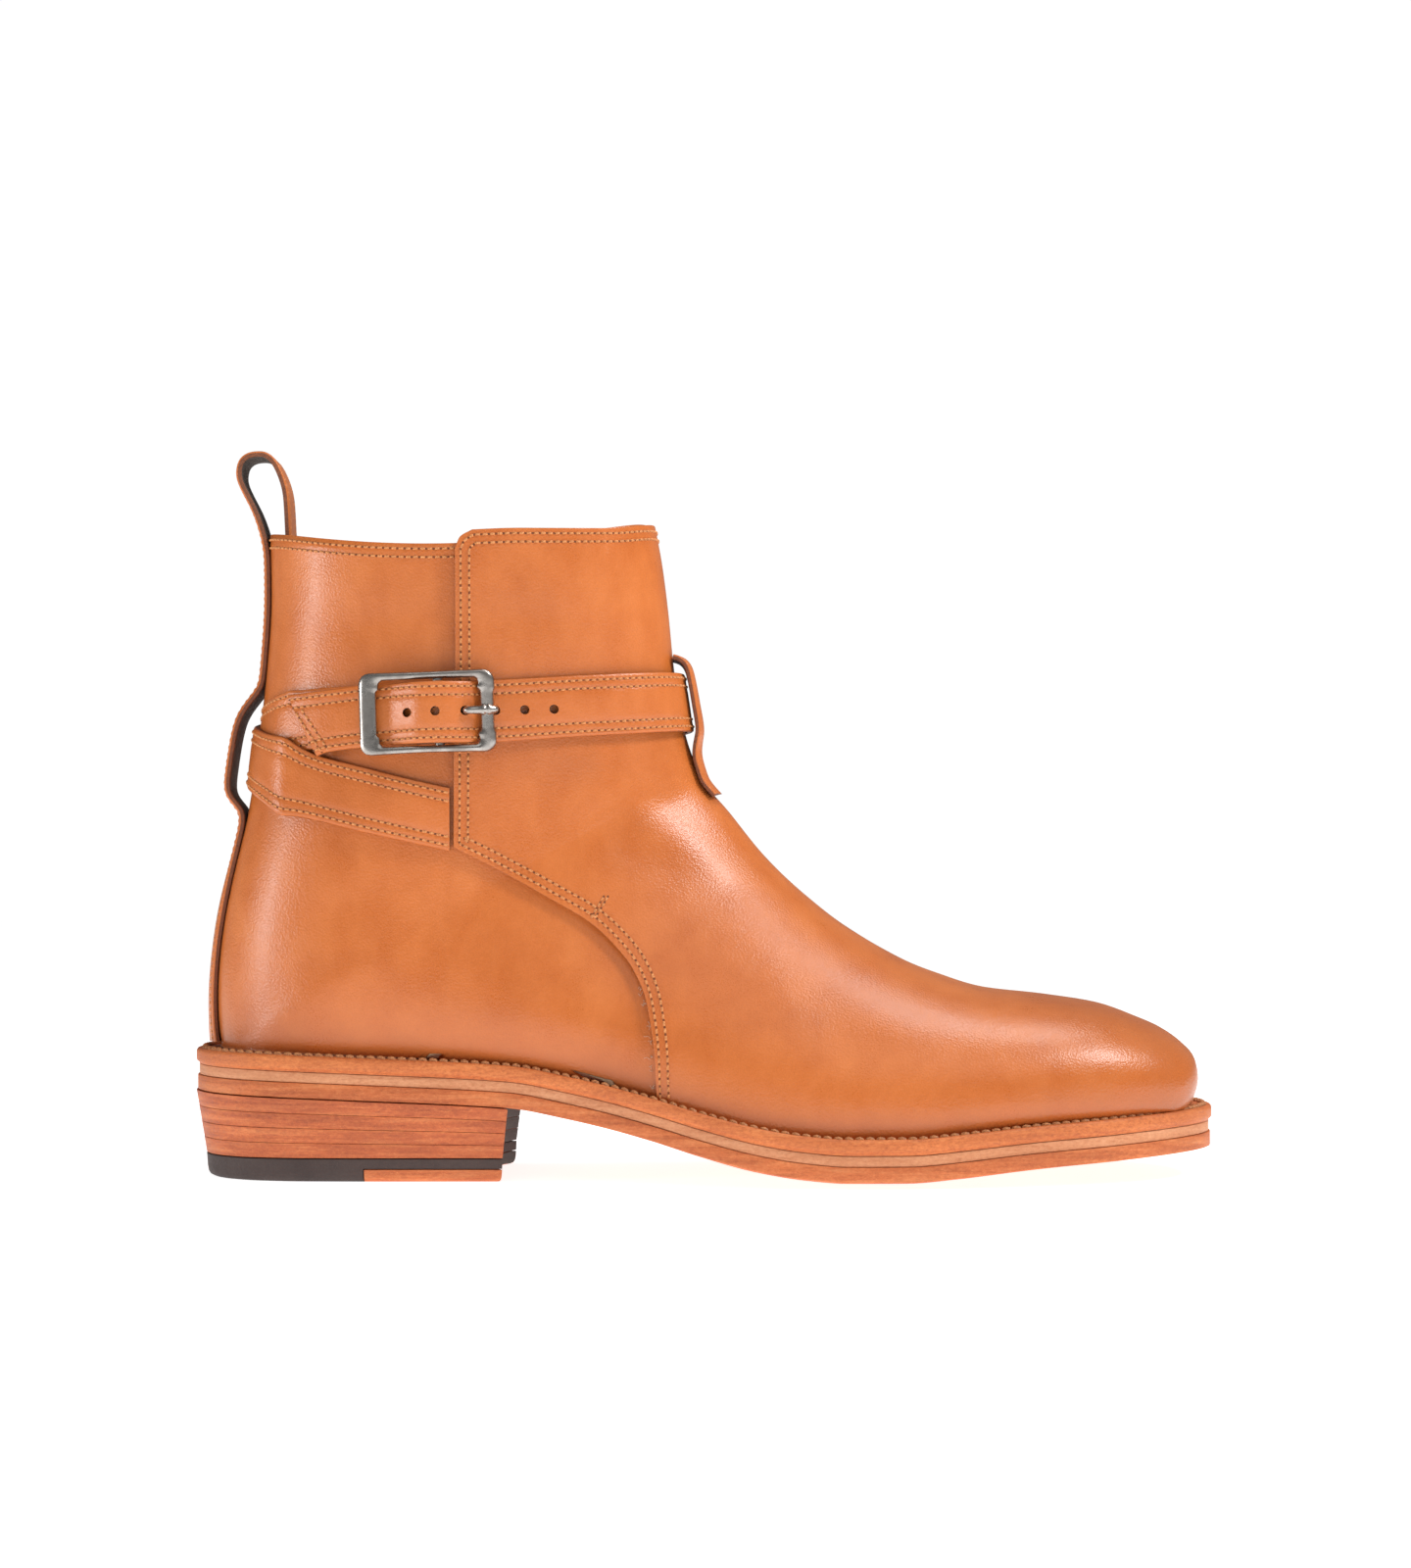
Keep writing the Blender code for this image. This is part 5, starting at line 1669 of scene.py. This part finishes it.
# Rows of LONG_STRAP and BUCKLE_STRAP in their first wrap, which runs in one even sweep
WRAP_ROWS = 10
BUCKLE_WRAP_ROWS = 6
WRAP_PASSES = 26
# Length along a strap over which its height changes evenly
LEVEL_REACH = 0.012

# Ends of the slanting seam at the strap's tip, seen from the outer side: s and height
TIP_SEAM = ((0.0322, 0.1372), (0.0412, 0.1243))


def seen_line(item, ends, apart, steps=14):
    """Line on the outer side of an item, between two places moved along the boot."""
    mesh = item.data
    points = [v.co.copy() for v in mesh.vertices]
    tree = BVHTree.FromPolygons(points, [tuple(f.vertices) for f in mesh.polygons])
    line = []
    outs = []
    for share in np.linspace(0, 1, steps):
        s = ends[0][0] + (ends[1][0] - ends[0][0]) * share + apart
        z = ends[0][1] + (ends[1][1] - ends[0][1]) * share
        start = Vector((s - ORIGIN_FROM_BACK, -BALL_WIDTH, z))
        point, normal, _, _ = tree.ray_cast(start, Vector((0, 1, 0)))
        if point is not None:
            line.append(np.array(point))
            outs.append(np.array(normal))
    return np.array(line), np.array(outs)


def wrapped_ribbon(table, passes, wrap_rows):
    """Ribbon of a strap on the shaft, with its first wrap evened out further."""
    ribbon = smoothed(strap_ribbon(strap_rows(table)), passes)
    wrap = wrap_rows * STRAP_STEPS
    ribbon[:wrap] = smoothed(ribbon[:wrap], WRAP_PASSES)
    return levelled(ribbon, LEVEL_REACH)


def make_long_strap():
    ribbon = wrapped_ribbon(LONG_STRAP, 8, WRAP_ROWS)
    strap, normals = strap_piece(
        "long_strap", ribbon, (0, -1, 0), STRAP_WIDTH, STRAP_THICKNESS, STRAP_PUFF
    )
    cut(strap, hole_mesh(HOLE_RADIUS))
    strap.data.set_sharp_from_angle(angle=SHARP_ANGLE)
    stitching = Stitching()
    strap_seams(stitching, ribbon, normals)
    for apart in (0.0, SEAM_ROWS[1] - SEAM_ROWS[0]):
        line, outs = seen_line(strap, TIP_SEAM, apart)
        stitching.row(line, outs)
    stitching.make("long_strap_stitching", ["thread", "needle_shade"], "strap_leather")


def make_buckle_strap():
    """Strap that carries the buckle: it wraps the centre bar and returns beneath itself."""
    ribbon = wrapped_ribbon(BUCKLE_STRAP, 4, BUCKLE_WRAP_ROWS)
    reach = CENTRE_BAR_RADIUS + GAP
    fold = [
        (CENTRE_BAR_FORWARD + reach * math.sin(a), BAR_OUT + reach * math.cos(a))
        for a in (math.pi * k / FOLD_STEPS for k in range(FOLD_STEPS + 1))
    ]
    under = BAR_OUT - reach
    fold += [(0.0, under), (-FOLD_RETURN, under)]
    shares = np.linspace(-0.5, 0.5, STRAP_COLUMNS)
    lines = [
        [on_buckle(along, share * STRAP_WIDTH, out) for share in shares] for along, out in fold
    ]
    whole = np.concatenate([ribbon, np.array(lines)])
    _, normals = strap_piece(
        "buckle_strap", whole, (0, 1, 0), STRAP_WIDTH, STRAP_THICKNESS, STRAP_PUFF
    )
    stitching = Stitching()
    strap_seams(stitching, whole, normals, 0, len(ribbon))
    stitching.make("buckle_strap_stitching", ["thread", "needle_shade"], "strap_leather")


# Buckle

BAR_POINTS = 30
CORNER_POINTS = 8
OUTER_CORNER = 0.0034
INNER_CORNER = 0.0016
NECK_HALF = 0.0058


def rounded_outline(left, right, low, high, radius):
    """Points round a rectangle with round corners, the same number for any size."""
    points = []
    corners = (
        (right - radius, high - radius, 0.0),
        (left + radius, high - radius, 0.5 * math.pi),
        (left + radius, low + radius, math.pi),
        (right - radius, low + radius, 1.5 * math.pi),
    )
    for k, (x, y, angle) in enumerate(corners):
        turn = [angle + 0.5 * math.pi * i / CORNER_POINTS for i in range(CORNER_POINTS + 1)]
        arc = [(x + radius * math.cos(a), y + radius * math.sin(a)) for a in turn]
        following = corners[(k + 1) % 4]
        start = following[2]
        ahead = (
            following[0] + radius * math.cos(start),
            following[1] + radius * math.sin(start),
        )
        points += arc
        for i in range(1, BAR_POINTS):
            share = i / BAR_POINTS
            points.append(
                (arc[-1][0] + (ahead[0] - arc[-1][0]) * share,
                 arc[-1][1] + (ahead[1] - arc[-1][1]) * share)
            )
    return np.array(points)


def shape_window(window, half):
    """Window's edge with a necked front bar, collars on it and stepped rear corners."""
    along, across = window[:, 0], window[:, 1]
    front = ease(along, 0.55 * half, 0.60 * half)
    rear = 1 - ease(along, -0.60 * half, -0.55 * half)
    neck = 1 - ease(np.abs(across), NECK_HALF - 0.0006, NECK_HALF + 0.0006)
    collar = bell(np.abs(across), NECK_HALF + 0.0009, 0.0006)
    step = ease(np.abs(across), 0.0062, 0.0070)
    shaped = window.copy()
    shaped[:, 0] += front * (0.0005 * neck - 0.0005 * collar - 0.0002) + rear * 0.0008 * step
    return shaped


def make_buckle():
    half = 0.5 * FRAME_LENGTH
    tall = 0.5 * FRAME_HEIGHT
    outer = rounded_outline(-half, half, -tall, tall, OUTER_CORNER)
    window = rounded_outline(
        -half + FRAME_REAR_BAR,
        half - FRAME_FRONT_BAR,
        -0.5 * FRAME_WINDOW,
        0.5 * FRAME_WINDOW,
        INNER_CORNER,
    )
    window = shape_window(window, half)
    waist = 0.00035 * np.cos(np.clip(outer[:, 0] / half, -1, 1) * 0.5 * math.pi)
    outer[:, 1] -= np.sign(outer[:, 1]) * waist * (np.abs(outer[:, 1]) > 0.9 * tall)
    neck = 1 - ease(np.abs(outer[:, 1]), NECK_HALF - 0.0006, NECK_HALF + 0.0006)
    outer[:, 0] -= 0.0004 * neck * (outer[:, 0] > 0.9 * half)
    sides = 14
    loops = []
    for inside, outside in zip(window, outer):
        squareness = 0.80 if inside[0] > 0.5 * half else 0.60
        loop = []
        for k in range(sides):
            angle = 2 * math.pi * k / sides
            share = 0.5 + 0.5 * math.copysign(abs(math.cos(angle)) ** squareness, math.cos(angle))
            up = 0.5 + 0.5 * math.copysign(abs(math.sin(angle)) ** squareness, math.sin(angle))
            along, across = inside + (outside - inside) * share
            loop.append(on_buckle(along, across, FRAME_OUT + up * FRAME_THICKNESS))
        loops.append(loop)
    frame_mesh = loops_mesh("buckle_frame", loops, closed=True)
    bar_ends = [
        on_buckle(CENTRE_BAR_FORWARD, side * (tall - 0.5 * FRAME_EDGE_BAR), BAR_OUT)
        for side in (-1, 1)
    ]
    bar_mesh = rod_mesh("centre_bar", bar_ends, [CENTRE_BAR_RADIUS] * 2)
    shape = bmesh.new()
    shape.from_mesh(frame_mesh)
    shape.from_mesh(bar_mesh)
    shape.to_mesh(frame_mesh)
    shape.free()
    new_piece("buckle_frame_look", frame_mesh, ["metal"], "buckle_metal", "buckle_frame")
    make_prong()


# Prong from its hole over the front bar, with two ribs where it crosses it.
PRONG = (
    # along from the hole, height under the top, girth as a share of PRONG_RADIUS
    (0.0000, 0.0034, 0.80),
    (0.0000, 0.0014, 0.85),
    (0.0004, 0.0006, 0.88),
    (0.0012, 0.0001, 0.92),
    (0.0026, 0.0000, 0.96),
    (0.0044, 0.0000, 1.02),
    (0.0049, 0.0000, 1.28),
    (0.0054, 0.0000, 1.34),
    (0.0059, 0.0000, 1.06),
    (0.0063, 0.0000, 1.06),
    (0.0067, 0.0000, 1.30),
    (0.0072, 0.0000, 1.26),
    (0.0076, 0.0000, 1.02),
    (0.0082, 0.0001, 0.96),
    (0.0088, 0.0003, 0.80),
    (0.0092, 0.0006, 0.45),
)


# Prong's thickness over that of its solid
PRONG_GIRTH = 1.25


def make_prong():
    over = FRAME_OUT + FRAME_THICKNESS + 2 * GAP + PRONG_GIRTH * PRONG_RADIUS
    points = [on_buckle(PRONG_HOLE_ALONG + along, 0.0, over - drop) for along, drop, _ in PRONG]
    radii = [girth * PRONG_GIRTH * PRONG_RADIUS for _, _, girth in PRONG]
    mesh = rod_mesh("buckle_prong", points, radii)
    new_piece("buckle_prong_look", mesh, ["metal"], "buckle_metal", "buckle_prong")


def rod_mesh(name, points, radii, sides=16):
    """Round rod through points with a radius at each."""
    loops = []
    for k, (point, radius) in enumerate(zip(points, radii)):
        before = points[max(k - 1, 0)]
        after = points[min(k + 1, len(points) - 1)]
        along = (Vector(after) - Vector(before)).normalized()
        first = along.cross(Vector((0, 0, 1)))
        if first.length < 0.3:
            first = along.cross(Vector((1, 0, 0)))
        first.normalize()
        second = along.cross(first)
        ring = []
        for j in range(sides):
            angle = 2 * math.pi * j / sides
            spoke = first * math.cos(angle) + second * math.sin(angle)
            ring.append(Vector(point) + spoke * radius)
        loops.append(ring)
    return loops_mesh(name, loops)


# Back strip, pull loop and front keeper


def strip_line(up, layer, turn, width):
    """Line of points across the inner face of a strip on the boot's middle plane."""
    start = SHAFT_MIDDLE * SHOE_LENGTH
    z = shaft_height(up)
    out = GAP + layer * LAYER
    half = 0.5 * width
    middle = on_upper(start, turn, z, out)
    surface = on_upper(start, turn, z, 0.0).x
    drop = max(abs(surface - on_upper(start, turn, z, 0.0, half).x), 1e-5)
    radius = half**2 / (2 * drop)
    bow = math.cos(math.radians(turn)) * half**2 / (2 * (radius + out))
    shares = np.linspace(-0.5, 0.5, STRAP_COLUMNS)
    return [(middle.x - bow * (2 * share) ** 2, share * width, middle.z) for share in shares]


def make_back_strip():
    rows = rows_between(BACK_STRIP, STRIP_STEPS)
    lines = [strip_line(up, layer, 180, STRIP_WIDTH) for up, layer in rows]
    collar_s, collar_z = place(SECTIONS[-1][2], SECTIONS[-1][3])
    shares = np.linspace(-0.5, 0.5, STRAP_COLUMNS)
    middle = []
    for back, up in rows_between(PULL_LOOP, STRIP_STEPS):
        x = collar_s - ORIGIN_FROM_BACK - back * PULL_LOOP_DEPTH
        middle.append((x, collar_z + up * PULL_LOOP_HEIGHT))
    middle = np.array(middle)
    run = np.gradient(middle, axis=0)
    run /= np.linalg.norm(run, axis=1)[:, None]
    inward = np.column_stack([run[:, 1], -run[:, 0]]) * STRIP_THICKNESS
    for (x, z), (move_x, move_z) in zip(middle, inward):
        lines.append([(x + move_x, share * STRIP_WIDTH, z + move_z) for share in shares])
    ribbon = smoothed(np.array(lines), 6)
    _, normals = strap_piece("back_strip", ribbon, (-1, 0, 0), STRIP_WIDTH, STRIP_THICKNESS)
    stitching = Stitching(0.7 * THREAD_RADIUS)
    for side in (-1, 1):
        across = side * (0.5 * STRIP_WIDTH - SEAM_ROWS[0])
        sunk = STRIP_THICKNESS - 0.5 * THREAD_RADIUS
        line, outs = ribbon_line(ribbon, normals, STRIP_WIDTH, across, sunk)
        stitching.row(line, outs)
    stitching.make("back_strip_stitching", ["thread", "needle_shade"], "strap_leather")


def make_front_keeper():
    rows = rows_between(FRONT_KEEPER, STRIP_STEPS)
    lines = [strip_line(up, layer, 0, KEEPER_WIDTH) for up, layer in rows]
    ribbon = smoothed(np.array(lines), 4)
    strap_piece("front_keeper", ribbon, (1, 0, 0), KEEPER_WIDTH, KEEPER_THICKNESS)


# Seams of the upper


def inset_outline(outline, inset):
    """Side-view line moved toward the vamp's middle."""
    along = np.gradient(outline, axis=0)
    along /= np.linalg.norm(along, axis=1)[:, None]
    return outline + inset * np.column_stack([along[:, 1], -along[:, 0]])


# Shares of SHOE_LENGTH from which a seam runs round the front or the back
FRONT_TURN_FROM = 0.36
BACK_TURN_FROM = 0.20
SEAM_FROM_WELT = 0.001


def round_collar(start, turns, height, out):
    """Line on the upper from level rays at several turns, at a height read from s."""
    line = []
    outs = []
    for turn in turns:
        z = float(height(start))
        for _ in range(4):
            point, normal = touch_upper(start, turn, z)
            z = float(height(point.x + ORIGIN_FROM_BACK))
        point, normal = touch_upper(start, turn, z)
        line.append(point + normal * out)
        outs.append(normal)
    return np.array(line), np.array(outs)


def side_line(outline, side, out):
    line = []
    outs = []
    for s, z in outline:
        point, normal = touch_upper(s, 90 * side, z)
        line.append(point + normal * out)
        outs.append(normal)
    return np.array(line), np.array(outs)


def stitch_vamp():
    """Two rows along the vamp's rear edges and its collar, in one run round the front."""
    out = GAP + VAMP_THICKNESS
    stitching = Stitching()
    for inset in SEAM_ROWS:
        outline = inset_outline(VAMP_OUTLINE, inset)
        welt = np.array([place(s / SHOE_LENGTH, 0.0)[1] for s in outline[:, 0]])
        outline = outline[outline[:, 1] > welt + SEAM_FROM_WELT]
        turning = FRONT_TURN_FROM * SHOE_LENGTH
        collar_at = int(np.argmax(outline[:, 1] > shaft_height(0.93)))
        collar = outline[collar_at:]
        order = np.argsort(collar[:, 0])
        rising = collar[order]
        upto = [k for k in range(len(outline)) if k < collar_at or outline[k, 0] < turning]
        side = outline[upto]

        def height(s):
            return np.interp(s, rising[:, 0], rising[:, 1])

        outer, outer_outs = side_line(side, -1, out)
        inner, inner_outs = side_line(side, 1, out)
        front, front_outs = round_collar(turning, np.linspace(-88, 88, 61), height, out)
        line = np.concatenate([outer, front, inner[::-1]])
        outs = np.concatenate([outer_outs, front_outs, inner_outs[::-1]])
        stitching.row(line, outs)
    stitching.make("vamp_stitching", ["thread", "needle_shade"], "upper_leather")


# Short double row that branches up from the vamp's seam, seen from the outer side
BAR_TACK = ((0.1184, 0.0755), (0.1222, 0.0822))
BAR_TACK_APART = 0.0012


def stitch_bar_tack():
    stitching = Stitching()
    out = GAP + VAMP_THICKNESS
    for apart in (0.0, BAR_TACK_APART):
        seen = np.array(BAR_TACK) + np.array([apart, 0.0])
        share = np.linspace(0, 1, 6)[:, None]
        line, outs = side_line(seen[0] + (seen[1] - seen[0]) * share, -1, out)
        stitching.row(line, outs, 0.8 * STITCH_PITCH, 0.8 * STITCH_LENGTH)
    stitching.make("bar_tack_stitching", ["thread", "needle_shade"], "upper_leather")


# Places of loose fibre, seen from the outer side: s and height
FRAYS = (
    (0.1337, 0.0555),
    (0.1349, 0.0520),
    (0.1362, 0.0450),
    (0.1364, 0.0415),
    (0.1368, 0.0365),
    (0.1369, 0.0340),
    (0.1378, 0.0290),
)
FRAYS_AT_EACH = 3
FRAY_POINTS = 5
FRAY_RADIUS = 0.00006
FRAY_OUT = 0.0003


def make_frays():
    """Short pale fibres along the lower part of the vamp's raw edge."""
    rng = np.random.default_rng(5)
    shape = bmesh.new()
    for root in FRAYS:
        for _ in range(FRAYS_AT_EACH):
            back = np.cumsum(rng.uniform(-0.0006, 0.0002, FRAY_POINTS))
            up = np.cumsum(rng.uniform(-0.0007, 0.0007, FRAY_POINTS))
            reach = np.column_stack([back, up])
            line, _ = side_line(np.array(root) + reach, -1, FRAY_OUT)
            points = [Vector(p) for p in line]
            mesh = rod_mesh("fray", points, [FRAY_RADIUS] * len(points), 5)
            shape.from_mesh(mesh)
            bpy.data.meshes.remove(mesh)
    mesh = mesh_of(shape, "frays")
    new_piece("vamp_frays", mesh, ["fibre"], "upper_leather")


def stitch_quarters():
    """Two rows under the quarters' collar, from the vamp round the back."""
    stitching = Stitching()
    collar = SKIN_GRID[-1]
    half = collar[: len(collar) // 2 + 1]
    s_values = half[:, 0] + ORIGIN_FROM_BACK
    turning = BACK_TURN_FROM * SHOE_LENGTH
    for inset in SEAM_ROWS:

        def height(s):
            return np.interp(s, s_values, half[:, 2]) - inset

        end = VAMP_EDGE[13][0] * SHOE_LENGTH
        along = np.linspace(end, turning, 12)
        side = np.column_stack([along, height(along)])
        outer, outer_outs = side_line(side, -1, 0.0)
        inner, inner_outs = side_line(side, 1, 0.0)
        back, back_outs = round_collar(turning, np.linspace(-91, -269, 61), height, 0.0)
        line = np.concatenate([outer, back, inner[::-1]])
        outs = np.concatenate([outer_outs, back_outs, inner_outs[::-1]])
        stitching.row(line, outs)
    stitching.make("quarter_stitching", ["thread", "needle_shade"], "upper_leather")


def stitch_welt():
    """Rope-like row of heavy stitches round the welt's shelf."""
    stitching = Stitching(WELT_THREAD_RADIUS, 0.0)
    loop = path_loop(WELT_STITCH_INSET, WELT_TOP - 0.1 * WELT_THREAD_RADIUS)
    loop = np.concatenate([loop, loop[:1]])
    normals = np.tile(np.array([0.0, 0.0, 1.0]), (len(loop), 1))
    stitching.row(loop, normals, WELT_STITCH_PITCH, 1.05 * WELT_STITCH_PITCH, 0.00035)
    stitching.make("welt_stitching", ["welt_thread"], "welt_leather")


# Camera, floor and light

FLOOR_SIZE = 6.0
FLOOR_GLOW = 0.84
# Strength of the surroundings as a light, and as the background that is seen
WORLD_LIGHT = 0.20
WORLD_SEEN = 1.02


def make_camera():
    camera = bpy.data.cameras.new("camera")
    camera.sensor_fit = "VERTICAL"
    camera.sensor_height = SENSOR_HEIGHT
    camera.lens = FOCAL_LENGTH
    camera.shift_y = CAMERA_SHIFT
    item = bpy.data.objects.new("camera", camera)
    item.location = CAMERA_PLACE
    item.rotation_euler = (0.5 * math.pi, 0, 0)
    bpy.context.scene.collection.objects.link(item)
    bpy.context.scene.camera = item


def make_floor():
    shape = bmesh.new()
    bmesh.ops.create_grid(shape, x_segments=4, y_segments=4, size=FLOOR_SIZE)
    mesh = mesh_of(shape, "floor")
    look = Finish("floor")
    tone = look.noise(3.0, 2.0)
    look.finish(look.ramp(tone, (0.3, (0.86, 0.86, 0.87)), (0.7, (0.88, 0.88, 0.88))), 0.6)
    look.shader.inputs["Emission Color"].default_value = (1.0, 1.0, 1.0, 1.0)
    look.shader.inputs["Emission Strength"].default_value = FLOOR_GLOW
    mesh.materials.append(look.material)
    floor = bpy.data.objects.new("floor", mesh)
    bpy.context.scene.collection.objects.link(floor)


# Softboxes: place, target, size and power
LIGHTS = (
    ("overhead", (0.45, 0.10, 1.20), (0.15, 0.0, 0.05), (0.50, 0.35), 4.5),
    ("right_high", (0.90, -0.38, 0.95), (0.16, 0.0, 0.05), (0.24, 0.30), 8.5),
    ("left_side", (-1.00, -0.36, 0.20), (0.00, 0.0, 0.05), (0.14, 0.22), 2.9),
    ("front_fill", (0.10, -1.30, 1.50), (0.12, 0.0, 0.06), (1.6, 1.2), 5.5),
)


def make_lights():
    for name, spot, target, size, power in LIGHTS:
        light = bpy.data.lights.new(name, "AREA")
        light.shape = "RECTANGLE"
        light.size, light.size_y = size
        light.energy = power
        item = bpy.data.objects.new(name, light)
        item.location = spot
        item.rotation_euler = (Vector(target) - Vector(spot)).to_track_quat("-Z", "Y").to_euler()
        bpy.context.scene.collection.objects.link(item)
    world = bpy.data.worlds.new("studio")
    world.use_nodes = True
    nodes = world.node_tree.nodes
    links = world.node_tree.links
    background = nodes["Background"]
    background.inputs["Color"].default_value = (1.0, 1.0, 1.0, 1.0)
    path = nodes.new("ShaderNodeLightPath")
    strength = nodes.new("ShaderNodeMapRange")
    strength.inputs[3].default_value = WORLD_LIGHT
    strength.inputs[4].default_value = WORLD_SEEN
    links.new(path.outputs["Is Camera Ray"], strength.inputs[0])
    links.new(strength.outputs[0], background.inputs["Strength"])
    bpy.context.scene.world = world
    bpy.context.scene.view_settings.view_transform = "Standard"


make_camera()
make_floor()
make_lights()
make_sole()
make_welt()
make_heel()
make_top_piece()
make_upper()
make_vamp()
make_long_strap()
make_buckle_strap()
make_buckle()
make_back_strip()
make_front_keeper()
stitch_vamp()
stitch_bar_tack()
make_frays()
stitch_quarters()
stitch_welt()
